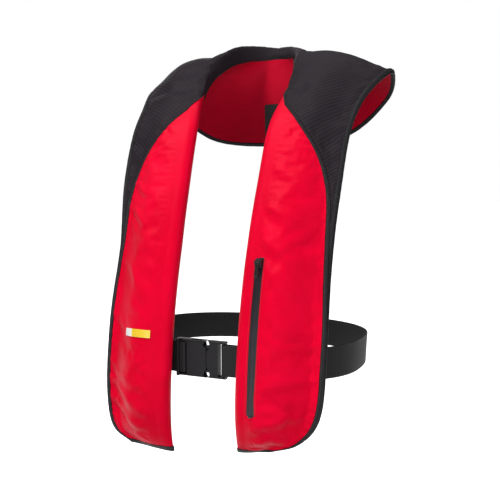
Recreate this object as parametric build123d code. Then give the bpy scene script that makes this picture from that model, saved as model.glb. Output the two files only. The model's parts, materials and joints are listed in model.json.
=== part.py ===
from build123d import *
from math import cos, sin, pi, sqrt, asin, degrees, radians
import os

# An inflatable life jacket: a flat yoke that goes round the neck, with two
# lobes down the chest, a back flap, and a webbing belt closed by a
# side-release buckle.  Millimetres.  +X is the wearer's left, +Y the
# wearer's back, +Z up, and the origin is the middle of the neck opening.

# ---- driving dimensions: the yoke
LOBE_GAP = 90.0            # clear width between the two lobes
LOBE_WIDTH = 108.0         # one lobe, from inner fold to outer edge
SHOULDER_SPAN = 374.0      # tip to tip over the shoulders
FRONT_DROP = 482.0         # neck centre down to the foot of a lobe
BACK_DROP = 90.0           # neck centre down to the hem of the back flap
BACK_DEPTH = 77.0          # neck centre back to the lining
LOBE_REACH = 158.0         # neck centre forward to a lobe's body side
LOBE_BEND = 720.0          # radius to which the lobes curve over the chest
LOBE_BEND_Z = -450.0       # height where that curve stands upright
LOBE_TWIST = 5.0           # how far the outer edge lies behind the inner one
LOBE_THICKNESS = 22.0      # over the inner fold
LOBE_CROWN = 9.0           # extra thickness across the middle of a lobe

# ---- cloth
CLOTH = 1.2                # coated cover cloth
BACKING = 1.0              # back sheets and lining
EDGE_PINCH = 4.6           # both sheets together at the closed outer edge
FOLD = 14.0                # width taken by the rounded inner fold
CLOSURE_WIDTH = 12.0       # hook-and-loop strips along the outer edge
CLOSURE_THICKNESS = 0.6
BINDING_WIDTH = 4.2
BINDING_PROUD = 0.3        # how far a binding stands over its sheet
SEAM_GAP = 0.4             # daylight between two sewn sheets
LAYER_GAP = 0.45           # daylight between two loose layers
BLADDER_LOBE = 1.2         # bladder lying flat behind the hardware
BLADDER_COLLAR = 6.5       # bladder folded up round the neck

# ---- belt and its webbing
BELT_DROP = 370.0          # neck centre down to the middle of the belt
BELT_WIDTH = 328.0         # outside, hip to hip
BELT_FRONT = 118.0         # from the belt's middle to its front
BELT_REAR = 128.0          # from the belt's middle to its back
BELT_MIDDLE_Y = -30.0
BELT_SQUARENESS = 2.465    # 2 would be an ellipse
WEBBING = 40.0
WEBBING_THICKNESS = 1.6
BELT_START = 63.0          # degrees from the hip to the end of the long webbing

# ---- buckle
BUCKLE_X = -5.0            # mouth of the socket
BUCKLE_Y = -142.5
BUCKLE_HEIGHT = WEBBING + 8
BUCKLE_THICKNESS = 11.0
BUCKLE_WALL = 2.1
SOCKET_LENGTH = 42.0
PLUG_LENGTH = 25.6
BAR = 3.6                  # bar that a webbing loop goes round
BAR_SLOT = 6.0
KEEPER_BAR = 2.6           # thickness of the raised bar that holds the webbing down
BITE_R = 4.8               # finger bites beside the buckle's mouth
LOOP_LENGTH = 47.0         # webbing loop past its bar
LATCH_LENGTH = 20.0
RUNNING = 0.25             # clearance of what slides or turns

# ---- zip
ZIP_X = 71.0
ZIP_TOP_Z = -238.0
ZIP_BOTTOM_Z = -426.0
ZIP_WIDTH = 11.0
ZIP_TAPE = 1.0

# ---- gas and mouth inflation
GAS_X = 90.0               # line of the gas bottle in the left lobe
GAS_Z = -335.0             # middle of bottle and inflator together
BOTTLE_R = 10.0
BOTTLE_LENGTH = 90.0
NECK_R = 4.5               # threaded neck of the bottle
NECK_LENGTH = 9.0
INFLATOR = (26.0, 14.0, 32.0)
STEM_R = 4.0               # manifold stem that the inflator sits on
LEVER_LENGTH = 22.0
ORAL_X = -95.0             # line of the mouth tube in the right lobe
ORAL_Z = -300.0
ORAL_TUBE_R = 6.0
ORAL_BORE_R = 4.0
ORAL_TUBE_LENGTH = 90.0

LAST = 12                  # station number at the middle of the back

half_gap = LOBE_GAP / 2
outer = half_gap + LOBE_WIDTH
tip = SHOULDER_SPAN / 2
belt_z = -BELT_DROP


def lobe_y(z):
    """Body side of a lobe: a circular arc in side view."""
    return LOBE_BEND - LOBE_REACH - sqrt(LOBE_BEND**2 - (z - LOBE_BEND_Z) ** 2)


def lobe_pair(inner_x, outer_x, inner_z, outer_z):
    return (
        (inner_x, lobe_y(inner_z), inner_z),
        (outer_x, lobe_y(outer_z) + LOBE_TWIST, outer_z),
    )


foot = -FRONT_DROP
# Stations from a lobe's foot, up the chest, over the shoulder to the middle
# of the back: inner edge, outer edge, thickness, arch of the body side,
# crown, rise of the collar's ridge over the inner edge, wrap-round.
STATIONS = [
    (*lobe_pair(half_gap, outer - 56, foot, foot + 2), 5.6, 0, 0, (0, 0, 0), 12),
    (*lobe_pair(half_gap, outer - 18, foot + 24, foot + 18), 16.0, 0, 5.0, (0, 0, 0), 12),
    (*lobe_pair(half_gap, outer - 2, foot + 60, foot + 57), LOBE_THICKNESS, 0, LOBE_CROWN, (0, 0, 0), 12),
    (*lobe_pair(half_gap, outer, -350, -350), LOBE_THICKNESS, 0, LOBE_CROWN, (0, 0, 0), 12),
    (*lobe_pair(half_gap + 1, outer - 2, -230, -230), LOBE_THICKNESS, 0, LOBE_CROWN, (0, 0, 0), 12),
    ((half_gap + 4, -98, -150), (outer + 2, -98, -150), 20.0, 0, 5.0, (0, 0, 0), 10),
    ((half_gap + 7, -72, -80), (outer + 5, -70, -85), 18.0, 1, 2.0, (0, 0, 0), 7),
    ((half_gap + 17, -38, -32), (tip - 21, -36, -42), 16.0, 3, 0.5, (0, 0, 0), 3),
    ((half_gap + 16, -14, -3), (tip - 5, 4, -10), 15.0, 5, 0, (0, 0, 4), 1),
    ((half_gap + 5, 18, 20), (tip, 34, -4), 15.0, 7, 0, (0, 0, 9), 1),
    ((half_gap - 7, BACK_DEPTH - 31, 32), (tip - 17, 68, -34), 16.0, 8, 0, (0, 1, 13), 1),
    ((20, BACK_DEPTH - 9, 40), (tip - 82, 82, 10 - BACK_DROP), 18.0, 4, 0, (0, 2, 14), 1),
    ((0, BACK_DEPTH, 44), (0, BACK_DEPTH + 6, -BACK_DROP), 20.0, 0, 0, (0, 2, 13), 1),
]

# How much of a lobe's width the front panel takes, every half station from
# station 4 up.  -1 is the body side of the fold, 0 its front, 1 the edge.
PANEL_TOP = [0.93, 0.90, 0.815, 0.64, 0.33, -0.05, -0.5, -1.0, -1.0]


def through(values, place):
    """A smooth curve through evenly spaced values."""
    index = int(min(max(place, 0), len(values) - 2))
    part = place - index
    before = values[index - 1] if index else values[0] * 2 - values[1]
    start, end = values[index], values[index + 1]
    after = values[index + 2] if index + 2 < len(values) else end * 2 - start
    return 0.5 * (
        start * 2
        + (end - before) * part
        + (before * 2 - start * 5 + end * 4 - after) * part**2
        + (start * 3 - before - end * 3 + after) * part**3
    )


def mirrored(point):
    return Vector(-point.X, point.Y, point.Z)


def edge_point(column, place):
    """A point on the inner (0) or outer (1) edge of the yoke."""
    points = [Vector(*station[column]) for station in STATIONS]
    points.append(mirrored(points[-2]))
    point = through(points, place)
    if place < 4:
        return Vector(point.X, lobe_y(point.Z) + LOBE_TWIST * column, point.Z)
    return point


def column_value(column, place):
    values = [station[column] for station in STATIONS]
    return through(values + [values[-2]], place)


def ridge_rise(place):
    values = [Vector(*station[5]) for station in STATIONS]
    return through(values + [values[-2]], place)


class Section:
    """The cut through the yoke at one place along it."""

    def __init__(self, place):
        step = 0.02
        low, high = max(place - step, 0), min(place + step, LAST)
        self.inner = edge_point(0, place)
        across = edge_point(1, place) - self.inner
        along = edge_point(0, high) + edge_point(1, high) - edge_point(0, low) - edge_point(1, low)
        self.width = across.length
        self.across = across.normalized()
        self.out = self.across.cross(along).normalized()
        self.thickness = column_value(2, place)
        self.arch = column_value(3, place)
        self.crown = column_value(4, place)
        self.rise = ridge_rise(place)
        self.wrap = max(column_value(6, place), 1)

    def at(self, reach, height):
        """Point at a reach from the inner edge and a height over the body side."""
        share = max(reach, 0) / self.width
        bow = 4 * self.arch * share * (1 - share)
        return self.inner + self.across * reach + self.out * (height + bow)

    def cover(self, place, depth):
        """Point on the cover: -1 to 0 goes round the fold, 0 to 1 across the front."""
        radius = self.thickness / 2
        fold = min(FOLD, self.width * 0.3)
        if place < 0:
            angle = pi * (place + 1)
            side = self.wrap if place < -0.5 else fold
            reach = side - (side - depth * (side > 2)) * sin(angle)
            height = radius - (radius - depth) * cos(angle)
            lift = self.rise * sin(angle) * (1 - depth / 30)
            return self.at(reach, height) + lift
        flat = self.width - fold
        pinch = (flat - CLOSURE_WIDTH - BINDING_WIDTH) / flat
        share = min(place / pinch, 1)
        height = EDGE_PINCH + (self.thickness - EDGE_PINCH) * cos(pi / 2 * share**1.5) ** 2
        height += self.crown * sin(pi * share)
        return self.at(fold + place * flat, height - depth)


def spread(low, high, count):
    return [low + (high - low) * i / (count - 1) for i in range(count)]


def ruled_solid(cuts):
    """A closed solid from a row of cuts, each the same closed ring of edges."""
    ruled = Face.make_surface_from_curves
    faces = [ruled(cuts[0][0], cuts[0][2]), ruled(cuts[-1][0], cuts[-1][2])]
    for here, after in zip(cuts, cuts[1:]):
        faces += [ruled(edge, partner) for edge, partner in zip(here, after)]
    solid = Solid(Shell(faces))
    return solid if solid.volume > 0 else -solid


def sheet(places, upper_row, lower_row):
    """A sheet along the yoke; each row function gives one cut's points.

    Places run 0 to 12 on the wearer's left and on to 24 on the right."""
    cuts = []
    for place in places:
        on_left = min(place, 2 * LAST - place)
        section = Section(on_left)
        upper, lower = upper_row(section, on_left), lower_row(section, on_left)
        if place > LAST:
            upper = [mirrored(point) for point in upper]
            lower = [mirrored(point) for point in lower]
        end = Edge.make_line(upper[-1], lower[-1])
        start = Edge.make_line(upper[0], lower[0])
        cuts.append((Edge.make_spline(upper), end, Edge.make_spline(lower), start))
    return ruled_solid(cuts)


def cover_sheet(places, start, end, depth=0.0, thickness=CLOTH, columns=22):
    """Part of the cover between two boundaries, which may depend on the place."""

    def row(depth_here):
        return lambda section, place: [
            section.cover(w, depth_here) for w in spread(start(section, place), end(section, place), columns)
        ]

    return sheet(places, row(depth), row(depth + thickness))


def back_sheet(places, start, end, height=0.0, thickness=BACKING, columns=9):
    """Part of the body side between two reaches."""

    def row(height_here):
        return lambda section, place: [
            section.at(reach, height_here) for reach in spread(start(section, place), end(section, place), columns)
        ]

    return sheet(places, row(height + thickness), row(height))


def panel_edge(place):
    if place < 4:
        return PANEL_TOP[0]
    return max(through(PANEL_TOP, min((place - 4) * 2, 8)), -1)


def front_end(section, place):
    return 1 - (BINDING_WIDTH + SEAM_GAP) / (section.width - FOLD)


def save(name, *solids):
    for solid in solids:
        if not solid.is_valid:
            print("not valid:", name)
    shape = solids[0] if len(solids) == 1 else Compound(list(solids))
    export_step(shape, f"parts/{name}.step")


def pair(name, solid):
    """Write a piece on the wearer's left and its mirror image on the right."""
    save(name + "_left", solid)
    save(name + "_right", solid.mirror(Plane.YZ))


def block(x, y, z):
    """A box given by its limits."""
    size = (x[1] - x[0], y[1] - y[0], z[1] - z[0])
    return Pos((x[0] + x[1]) / 2, (y[0] + y[1]) / 2, (z[0] + z[1]) / 2) * Box(*size)


def belt_point(angle, inset):
    """Point on the belt's line; 0 degrees is the wearer's left, 90 the back."""
    c, s = cos(radians(angle)), sin(radians(angle))
    power = 2 / BELT_SQUARENESS
    depth = (BELT_REAR if s > 0 else BELT_FRONT) - inset
    x = (BELT_WIDTH / 2 - inset) * abs(c) ** power * (1 if c > 0 else -1)
    y = depth * abs(s) ** power * (1 if s > 0 else -1)
    return Vector(x, y + BELT_MIDDLE_Y, belt_z - WEBBING / 2)


def ribbon(points, thickness, across):
    """A flat strap: a bent line given a thickness, then a width along X."""
    left, right = [], []
    for index, (y, z) in enumerate(points):
        before = points[max(index - 1, 0)]
        after = points[min(index + 1, len(points) - 1)]
        run = Vector(0, after[0] - before[0], after[1] - before[1]).normalized()
        side = Vector(0, -run.Z, run.Y) * (thickness / 2)
        left.append(Vector(across[0], y, z) + side)
        right.append(Vector(across[0], y, z) - side)
    face = Face(Wire.make_polygon(left + right[::-1], close=True))
    return extrude(face, amount=across[1] - across[0], dir=(1, 0, 0))


def webbing_loop(x_bar, x_end, bar_depth):
    """A loop of webbing round a buckle bar, stitched shut at its far end."""
    inside = bar_depth / 2 + RUNNING
    low, high = min(x_bar, x_end), max(x_bar, x_end)
    outside = inside + WEBBING_THICKNESS
    reach = (low - WEBBING_THICKNESS, high + WEBBING_THICKNESS)
    ring = block(reach, (-outside, outside), (-WEBBING / 2, WEBBING / 2))
    ring = fillet(ring.edges().filter_by(Axis.Z), outside * 0.8)
    ring -= block((low, high), (-inside, inside), (-WEBBING, WEBBING))
    return Pos(0, BUCKLE_Y, belt_z) * ring


def lobe_place(x, z):
    """Local frame on the body side of a lobe: -Y outwards, Z along the lobe."""
    lean = degrees(asin((z - LOBE_BEND_Z) / LOBE_BEND))
    y = lobe_y(z) + LOBE_TWIST * (abs(x) - half_gap) / LOBE_WIDTH
    return Pos(x, y, z) * Rot(X=-lean)


os.makedirs("parts", exist_ok=True)

FOOT_START = 0.22          # station where the foot's binding ends
PANEL_END = 7.3            # station of the front panel's pointed top
BLACK_START = 4.4          # station where the shoulder cover's tail begins
BACK_JOIN = 7.6            # station where the back sheet meets the lining
LAYER = BACKING + LAYER_GAP
WHOLE = 2 * LAST

# ---- zip: an arc that follows the lobe, turning about a far axis
zip_section = Section(3)
zip_place = (ZIP_X - half_gap - FOLD) / (zip_section.width - FOLD)
zip_point = zip_section.cover(zip_place, 0)
zip_beside = zip_section.cover(zip_place + 0.02, 0)
zip_axis_y = LOBE_BEND - LOBE_REACH + LOBE_TWIST * (ZIP_X - half_gap) / LOBE_WIDTH
zip_radius = sqrt((zip_point.Y - zip_axis_y) ** 2 + (zip_point.Z - LOBE_BEND_Z) ** 2)
beside_radius = sqrt((zip_beside.Y - zip_axis_y) ** 2 + (zip_beside.Z - LOBE_BEND_Z) ** 2)
zip_tilt = asin((beside_radius - zip_radius) / (zip_beside - zip_point).length)
zip_top = degrees(asin((ZIP_TOP_Z - LOBE_BEND_Z) / zip_radius))
zip_bottom = degrees(asin((ZIP_BOTTOM_Z - LOBE_BEND_Z) / zip_radius))
zip_axis = Axis((ZIP_X, zip_axis_y, LOBE_BEND_Z), (1, 0, 0))


def zip_profile_point(across, height):
    x = ZIP_X + across * cos(zip_tilt) - height * sin(zip_tilt)
    y = zip_axis_y - zip_radius - across * sin(zip_tilt) - height * cos(zip_tilt)
    return Vector(x, y, LOBE_BEND_Z)


def along_zip(across, height, top, bottom):
    """A bar along the zip; angles count up from the lobe's upright point."""
    corners = [(across[0], height[0]), (across[1], height[0]), (across[1], height[1]), (across[0], height[1])]
    face = Face(Wire.make_polygon([zip_profile_point(*corner) for corner in corners], close=True))
    return revolve(face.rotate(zip_axis, -top), zip_axis, top - bottom)


def at_zip(angle):
    """Local frame on the zip: X across it, -Y outwards, Z along it."""
    base = Pos(ZIP_X, zip_axis_y, LOBE_BEND_Z) * Rot(X=-angle)
    return base * Pos(0, -zip_radius, 0) * Rot(Z=-degrees(zip_tilt))


# ---- covers
def fold_start(section, place):
    return -1


def panel_end(section, place):
    return min(panel_edge(place) - SEAM_GAP / 90, front_end(section, place))


def shoulder_start(section, place):
    return panel_edge(place) + SEAM_GAP / 90


panel = cover_sheet(spread(FOOT_START, PANEL_END, 36), fold_start, panel_end)
half_slit = ZIP_WIDTH / 2 + SEAM_GAP
slit = along_zip((-half_slit, half_slit), (-4, 4), zip_top + 0.1, zip_bottom - 0.1)
save("cover_panel_left", (panel - slit).solid())
save("cover_panel_right", panel.mirror(Plane.YZ))
shoulder_places = spread(BLACK_START, WHOLE - BLACK_START, 96)
save("shoulder_cover", cover_sheet(shoulder_places, shoulder_start, front_end))


# ---- body side: sheets behind the lobes, lining under shoulders and collar
def back_start(section, place):
    return section.wrap + SEAM_GAP + 0.2


def back_end(section, place):
    return section.width - BINDING_WIDTH - SEAM_GAP


def whole_width(section, place):
    return section.width


def whole_front(section, place):
    return 1


def bound_reach(section, place):
    return section.width - BINDING_WIDTH


def bound_front(section, place):
    return 1 - BINDING_WIDTH / (section.width - FOLD)


back_places = spread(FOOT_START, BACK_JOIN - 0.02, 40)
lining_places = spread(BACK_JOIN, WHOLE - BACK_JOIN, 56)
pair("back_sheet", back_sheet(back_places, back_start, back_end))
save("back_lining", back_sheet(lining_places, back_start, back_end))

# ---- bindings over the raw edges, piping over the seam of the front panels
proud = CLOTH + 2 * BINDING_PROUD
side_places = spread(FOOT_START, BLACK_START - 0.02, 24)
foot_places = spread(0, FOOT_START - 0.02, 4)
front_side = cover_sheet(side_places, bound_front, whole_front, -BINDING_PROUD, proud, 3)
front_foot = cover_sheet(foot_places, fold_start, whole_front, -BINDING_PROUD, proud)
pair("panel_binding", Compound([front_side, front_foot]))
save("shoulder_binding", cover_sheet(shoulder_places, bound_front, whole_front, -BINDING_PROUD, proud, 3))
PIPING = 1.8 / 90
piping = cover_sheet(
    spread(BLACK_START + 0.1, PANEL_END - 0.2, 22),
    lambda section, place: panel_edge(place) - PIPING,
    lambda section, place: panel_edge(place) + PIPING,
    depth=-1.15,
    thickness=0.8,
    columns=5,
)
pair("panel_piping", piping)
back_proud = BACKING + 2 * BINDING_PROUD
back_side = back_sheet(back_places, bound_reach, whole_width, -BINDING_PROUD, back_proud, 3)
back_foot = back_sheet(foot_places, back_start, whole_width, -BINDING_PROUD, back_proud)
pair("back_binding", Compound([back_side, back_foot]))
save("hem_binding", back_sheet(lining_places, bound_reach, whole_width, -BINDING_PROUD, back_proud, 3))
neck_tape = back_sheet(
    spread(7.0, WHOLE - 7.0, 41),
    lambda section, place: section.wrap - 1,
    lambda section, place: section.wrap + 5,
    height=-1.2,
    thickness=0.8,
    columns=3,
)
save("neck_tape", neck_tape)


# ---- hook-and-loop closure along each lobe's outer edge
def strip_start(section, place):
    return section.width - BINDING_WIDTH - CLOSURE_WIDTH


closure = spread(0.7, BACK_JOIN - 0.3, 38)
pair("closure_hook", back_sheet(closure, strip_start, back_end, BACKING + 0.2, CLOSURE_THICKNESS, 3))
pair("closure_loop", back_sheet(closure, strip_start, back_end, BACKING + 1.2, CLOSURE_THICKNESS, 3))


# ---- bladder: flat in the lobes, folded up round the neck
def bladder_row(raised):
    def row(section, place):
        growth = min(max((place - 4.2) / 2, 0), 1)
        depth = BLADDER_LOBE + (BLADDER_COLLAR - BLADDER_LOBE) * growth
        points = []
        for reach in spread(section.wrap + 7, section.width - 32, 10):
            share = (reach - section.wrap) / section.width
            points.append(section.at(reach, LAYER + raised * depth * min(1, 1.6 - 1.55 * share)))
        return points

    return row


save("bladder", sheet(spread(0.8, WHOLE - 0.8, 113), bladder_row(1), bladder_row(0)))

# ---- gas inflation, inside the wearer's left lobe
gas = lobe_place(GAS_X, GAS_Z)
inner_face = LAYER + BLADDER_LOBE + LAYER_GAP
bottle_depth = inner_face + BOTTLE_R + 0.2
neck_z = -28.0             # where the bottle's neck enters the inflator
outline = Polyline(
    (0, neck_z - NECK_LENGTH),
    (NECK_R, neck_z - NECK_LENGTH),
    (NECK_R, neck_z + 2),
    (BOTTLE_R, neck_z + 10),
    (BOTTLE_R, neck_z + BOTTLE_LENGTH - 9),
    (BOTTLE_R * 0.62, neck_z + BOTTLE_LENGTH - 2),
    (0, neck_z + BOTTLE_LENGTH),
    (0, neck_z - NECK_LENGTH),
)
bottle = revolve(make_face(Plane.XZ * outline), Axis.Z)
save("gas_bottle", gas * Pos(0, -bottle_depth, 0) * bottle)

width, depth, height = INFLATOR
body = block((-width / 2, width / 2), (-depth / 2, depth / 2), (neck_z - height, neck_z - RUNNING))
body = fillet(body.edges().filter_by(Axis.Z), 4)
stem_z = neck_z - 19
sensor_z = neck_z - 22
sensor_x = -width / 2
lever_z = neck_z - height + 4
body_depth = bottle_depth
body -= Pos(0, 0, neck_z - (NECK_LENGTH + 1) / 2) * Cylinder(NECK_R + RUNNING, NECK_LENGTH + 1)
body -= Pos(0, 0, stem_z) * Rot(X=90) * Cylinder(STEM_R + RUNNING, depth + 2)
body -= Pos(sensor_x + 2, 0, sensor_z) * Rot(Y=90) * Cylinder(4.7 + RUNNING, 5)
body -= block((-7, width), (-2.4 - RUNNING, 2.4 + RUNNING), (lever_z - 10, lever_z + 3.4))
body += Pos(-3, 0, lever_z) * Rot(X=90) * Cylinder(1.5, depth - 2)
frame = gas * Pos(0, -body_depth, 0)
save("inflator_body", (frame * body).solid())
stem_length = depth + 5.4
stem = Cylinder(STEM_R, stem_length) - Cylinder(1.6, stem_length + 2)
save("manifold_stem", frame * Pos(0, 0.2, stem_z) * Rot(X=90) * stem)
nut = extrude(RegularPolygon(6.2, 6), 2.2) - Cylinder(STEM_R + 0.05, 12)
save("manifold_nut", (frame * Pos(0, -depth / 2 - 0.2, stem_z) * Rot(X=90) * nut).solid())
cartridge = Pos(sensor_x - 2.0, 0, sensor_z) * Rot(Y=90) * Cylinder(4.7, 11)
save("sensor_cartridge", frame * cartridge)
cap = Cylinder(6.6, 10) - Pos(0, 0, 1.5) * Cylinder(4.7 + RUNNING, 10)
save("sensor_cap", (frame * Pos(sensor_x - 5.3, 0, sensor_z) * Rot(Y=90) * cap).solid())
lever = block((-3, LEVER_LENGTH - 6), (-2.4, 2.4), (-2.6, 2.6)) + Pos(-3, 0, 0) * Rot(X=90) * Cylinder(3.0, 4.8)
lever -= Pos(-3, 0, 0) * Rot(X=90) * Cylinder(1.5 + RUNNING, 20)
lever += Pos(LEVER_LENGTH - 8, 0, 0) * Rot(X=90) * Cylinder(3.2, 4.8)
lever -= Pos(LEVER_LENGTH - 8, 0, 0) * Rot(X=90) * Cylinder(1.6, 20)
save("firing_lever", (frame * Pos(0, 0, lever_z) * lever).solid())

# ---- mouth inflation, inside the wearer's right lobe
mouth = lobe_place(ORAL_X, ORAL_Z) * Pos(0, -inner_face - ORAL_TUBE_R - 1.2, 0)
tube_top = ORAL_TUBE_LENGTH / 2
tube = Cylinder(ORAL_TUBE_R, ORAL_TUBE_LENGTH) - Pos(0, 0, 4) * Cylinder(ORAL_BORE_R, ORAL_TUBE_LENGTH)
save("oral_tube", (mouth * tube).solid())
elbow = Pos(0, 0, -tube_top - 5) * Cylinder(ORAL_TUBE_R, 9.5)
elbow += Pos(0, ORAL_TUBE_R / 2 + 0.4, -tube_top - 6.5) * Rot(X=90) * Cylinder(ORAL_TUBE_R, ORAL_TUBE_R)
elbow += Pos(0, ORAL_TUBE_R - 0.3, -tube_top - 12) * Rot(X=90) * Cylinder(11, 1.6)
save("oral_elbow", (mouth * elbow).solid())
valve = Pos(0, 0, tube_top - 7) * Cylinder(ORAL_BORE_R - RUNNING, 10)
valve += Pos(0, 0, tube_top - 2) * Cylinder(2.2, 6)
save("oral_valve", (mouth * valve).solid())
dust_cap = Pos(0, 0, tube_top - 2.5) * Cylinder(ORAL_TUBE_R + 1.3, 13)
dust_cap -= Pos(0, 0, tube_top - 4) * Cylinder(ORAL_TUBE_R + RUNNING, 13)
save("oral_dust_cap", (mouth * dust_cap).solid())
whistle = block((-4.5, 4.5), (-5, 5), (-22, 8)) + Pos(0, 0, 12) * Rot(Y=90) * Cylinder(5, 9)
whistle -= block((-2.6, 2.6), (-3, 3), (-23, 2))
whistle -= block((-6, 6), (-6, -1.5), (-1, 4))
save("whistle", (lobe_place(ORAL_X + 26, ORAL_Z) * Pos(0, -inner_face - 6.5, 0) * whistle).solid())

# ---- blank cloth label on the right lobe
label = cover_sheet(
    spread(3.03, 3.12, 3), lambda section, place: 0.10, lambda section, place: 0.565, -0.55, 0.4, 6
)
save("blank_label", label.mirror(Plane.YZ))

# ---- zip pieces
tape_height = (-ZIP_TAPE - 0.1, -0.1)
coil_half = 0.9
tape_left = along_zip((coil_half + 0.15, ZIP_WIDTH / 2), tape_height, zip_top, zip_bottom)
tape_right = along_zip((-ZIP_WIDTH / 2, -coil_half - 0.15), tape_height, zip_top, zip_bottom)
save("zip_tape", tape_left, tape_right)
save("zip_coil", along_zip((-coil_half, coil_half), (-1.6, -0.2), zip_top - 0.25, zip_bottom + 0.25))
slider_angle = zip_top - 0.55
slider = block((-4.3, 4.3), (-3.1, -RUNNING), (-5.6, 5.6))
slider = fillet(slider.edges().filter_by(Axis.Y), 2.2)
slider += block((-4.3, -2.9), (-5.2, -2.6), (-2.4, 2.4)) + block((2.9, 4.3), (-5.2, -2.6), (-2.4, 2.4))
hinge_y = -4.2
slider -= Pos(0, hinge_y, 0) * Rot(Y=90) * Cylinder(0.55, 12)
save("zip_slider", (at_zip(slider_angle) * slider).solid())
pull = block((-2.6, 2.6), (hinge_y - 0.6, hinge_y + 0.6), (-18, 0))
pull = fillet(pull.edges().filter_by(Axis.Y).group_by(Axis.Z)[0], 2.0)
pull += Pos(0, hinge_y, 0) * Rot(Y=90) * Cylinder(0.8, 5.2)
pull += Pos(0, hinge_y, 0) * Rot(Y=90) * Cylinder(0.45, 8.2)
pull -= block((-1.2, 1.2), (-9, 0), (-15, -10))
save("zip_pull", (at_zip(slider_angle) * pull).solid())
save("zip_stop", at_zip(zip_bottom + 0.1) * Pos(0, -0.7, 0) * Box(4, 1, 2))

# ---- belt
belt_angles = spread(-BELT_START, 180 + BELT_START, 65)
outside_line = [belt_point(angle, 0) for angle in belt_angles]
inside_line = [belt_point(angle, WEBBING_THICKNESS) for angle in belt_angles]
ring = Wire(
    [
        Edge.make_spline(outside_line),
        Edge.make_line(outside_line[-1], inside_line[-1]),
        Edge.make_spline(inside_line),
        Edge.make_line(inside_line[0], outside_line[0]),
    ]
)
save("belt_webbing", extrude(Face(ring), amount=WEBBING, dir=(0, 0, 1)))

# ---- back strap: from the lining down to a loop round the belt
rear = BELT_MIDDLE_Y + BELT_REAR
loop_gap = 0.5
half_web = WEBBING_THICKNESS / 2
front_y = rear - WEBBING_THICKNESS - loop_gap - half_web
behind_y = rear + loop_gap + half_web
lining_gap = 1.4 + half_web
loop_low = belt_z - WEBBING / 2 - loop_gap - half_web
loop_high = belt_z + WEBBING / 2 + loop_gap + half_web
hem_y = BACK_DEPTH + 6
strap_line = [
    (BACK_DEPTH + 3.1 - lining_gap, -27),
    (hem_y - lining_gap, -BACK_DROP),
    (hem_y - lining_gap + 1, -BACK_DROP - 20),
    (front_y, loop_high + 14),
    (front_y, loop_high + 4),
    (front_y, loop_high),
]
half_strap = WEBBING / 2
strap_x = (-half_strap, half_strap)
belt_loop = block(strap_x, (front_y - half_web, behind_y + half_web), (loop_low - half_web, loop_high + half_web))
belt_loop -= block((-WEBBING, WEBBING), (front_y + half_web, behind_y - half_web), (loop_low + half_web, loop_high - half_web))
strap = ribbon(strap_line, WEBBING_THICKNESS, strap_x) + belt_loop
save("back_strap", strap.solid())

# ---- belt keepers on the lobes' body side
KEEPER_X = 107.0
KEEPER_WIDTH = 14.0
KEEPER_DEPTH = 31.0
keeper_half = WEBBING / 2 + 5
half_keeper = KEEPER_WIDTH / 2
keeper = block((-half_keeper, half_keeper), (1, KEEPER_DEPTH), (-keeper_half, keeper_half))
room = keeper_half - 1.2
keeper -= block((-KEEPER_WIDTH, KEEPER_WIDTH), (-1, KEEPER_DEPTH - 1.2), (-room, room))
pair("belt_keeper", (lobe_place(KEEPER_X, belt_z) * keeper).solid())

# ---- adjuster on the wearer's right of the belt
adjust_angle = 214.0
adjust_point = belt_point(adjust_angle, half_web) + Vector(0, 0, WEBBING / 2)
adjust_run = belt_point(adjust_angle + 1, half_web) - belt_point(adjust_angle - 1, half_web)
adjuster = block((-11, 11), (-4, 4), (-24, 24)) - block((-12, 12), (-1.9, 1.9), (-21, 21))
adjuster -= block((-7.6, 7.6), (0, 9), (-21, 21)) + block((-12, -3), (-9, 0), (-21, 21))
adjuster -= block((3, 12), (-9, 0), (-21, 21))
adjust_plane = Plane(origin=adjust_point, x_dir=adjust_run.normalized(), z_dir=(0, 0, 1))
save("belt_adjuster", (adjust_plane.location * adjuster).solid())

# ---- side-release buckle
half_t, half_h = BUCKLE_THICKNESS / 2, BUCKLE_HEIGHT / 2
socket_mouth = BUCKLE_X
socket_back = socket_mouth - SOCKET_LENGTH
loop_bar = socket_back + BAR + 2.4
cavity_y, cavity_z = half_t - BUCKLE_WALL, half_h - BUCKLE_WALL
bar_half = 2.4
slot_z = WEBBING / 2 + 0.8
web_face = bar_half + RUNNING + WEBBING_THICKNESS + 0.4
at_buckle = Pos(0, BUCKLE_Y, belt_z)
bite = Rot(X=90) * Cylinder(BITE_R, 30)
socket = block((socket_back, socket_mouth), (-half_t, half_t), (-half_h, half_h))
socket = fillet(socket.edges().filter_by(Axis.X), 2.6)
cavity_start = loop_bar + BAR + BAR_SLOT + 2.4
socket -= block((cavity_start, socket_mouth + 1), (-cavity_y, cavity_y), (-cavity_z, cavity_z))
socket -= block((loop_bar + BAR, loop_bar + BAR + BAR_SLOT), (-9, 9), (-slot_z, slot_z))
socket -= block((socket_back - 1, loop_bar), (-9, 9), (-slot_z, slot_z))
socket -= block((loop_bar - 1, loop_bar + BAR + 1), (bar_half, 9), (-slot_z, slot_z))
socket -= block((loop_bar - 1, loop_bar + BAR + 1), (-9, -bar_half), (-slot_z, slot_z))
raised = block((socket_back, socket_back + BAR), (-web_face - KEEPER_BAR, -web_face), (-half_h, half_h))
socket += fillet(raised.edges().filter_by(Axis.Z).group_by(Axis.Y)[0], 1.0)
for side in (-1, 1):
    rail = sorted((side * slot_z, side * half_h))
    socket += block((socket_back, socket_back + BAR), (-web_face - 0.5, 0), rail)
    edge = sorted((side * (cavity_z - 0.5), side * (half_h + 1)))
    socket -= block((socket_mouth - 23, socket_mouth - 8), (-cavity_y, cavity_y), edge)
    socket -= Pos(socket_mouth + 0.5, 0, side * (half_h - BITE_R)) * bite
save("buckle_socket", (at_buckle * socket).solid())
socket_loop = webbing_loop(loop_bar + BAR + RUNNING, socket_back - LOOP_LENGTH + 4, 2 * bar_half)
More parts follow.
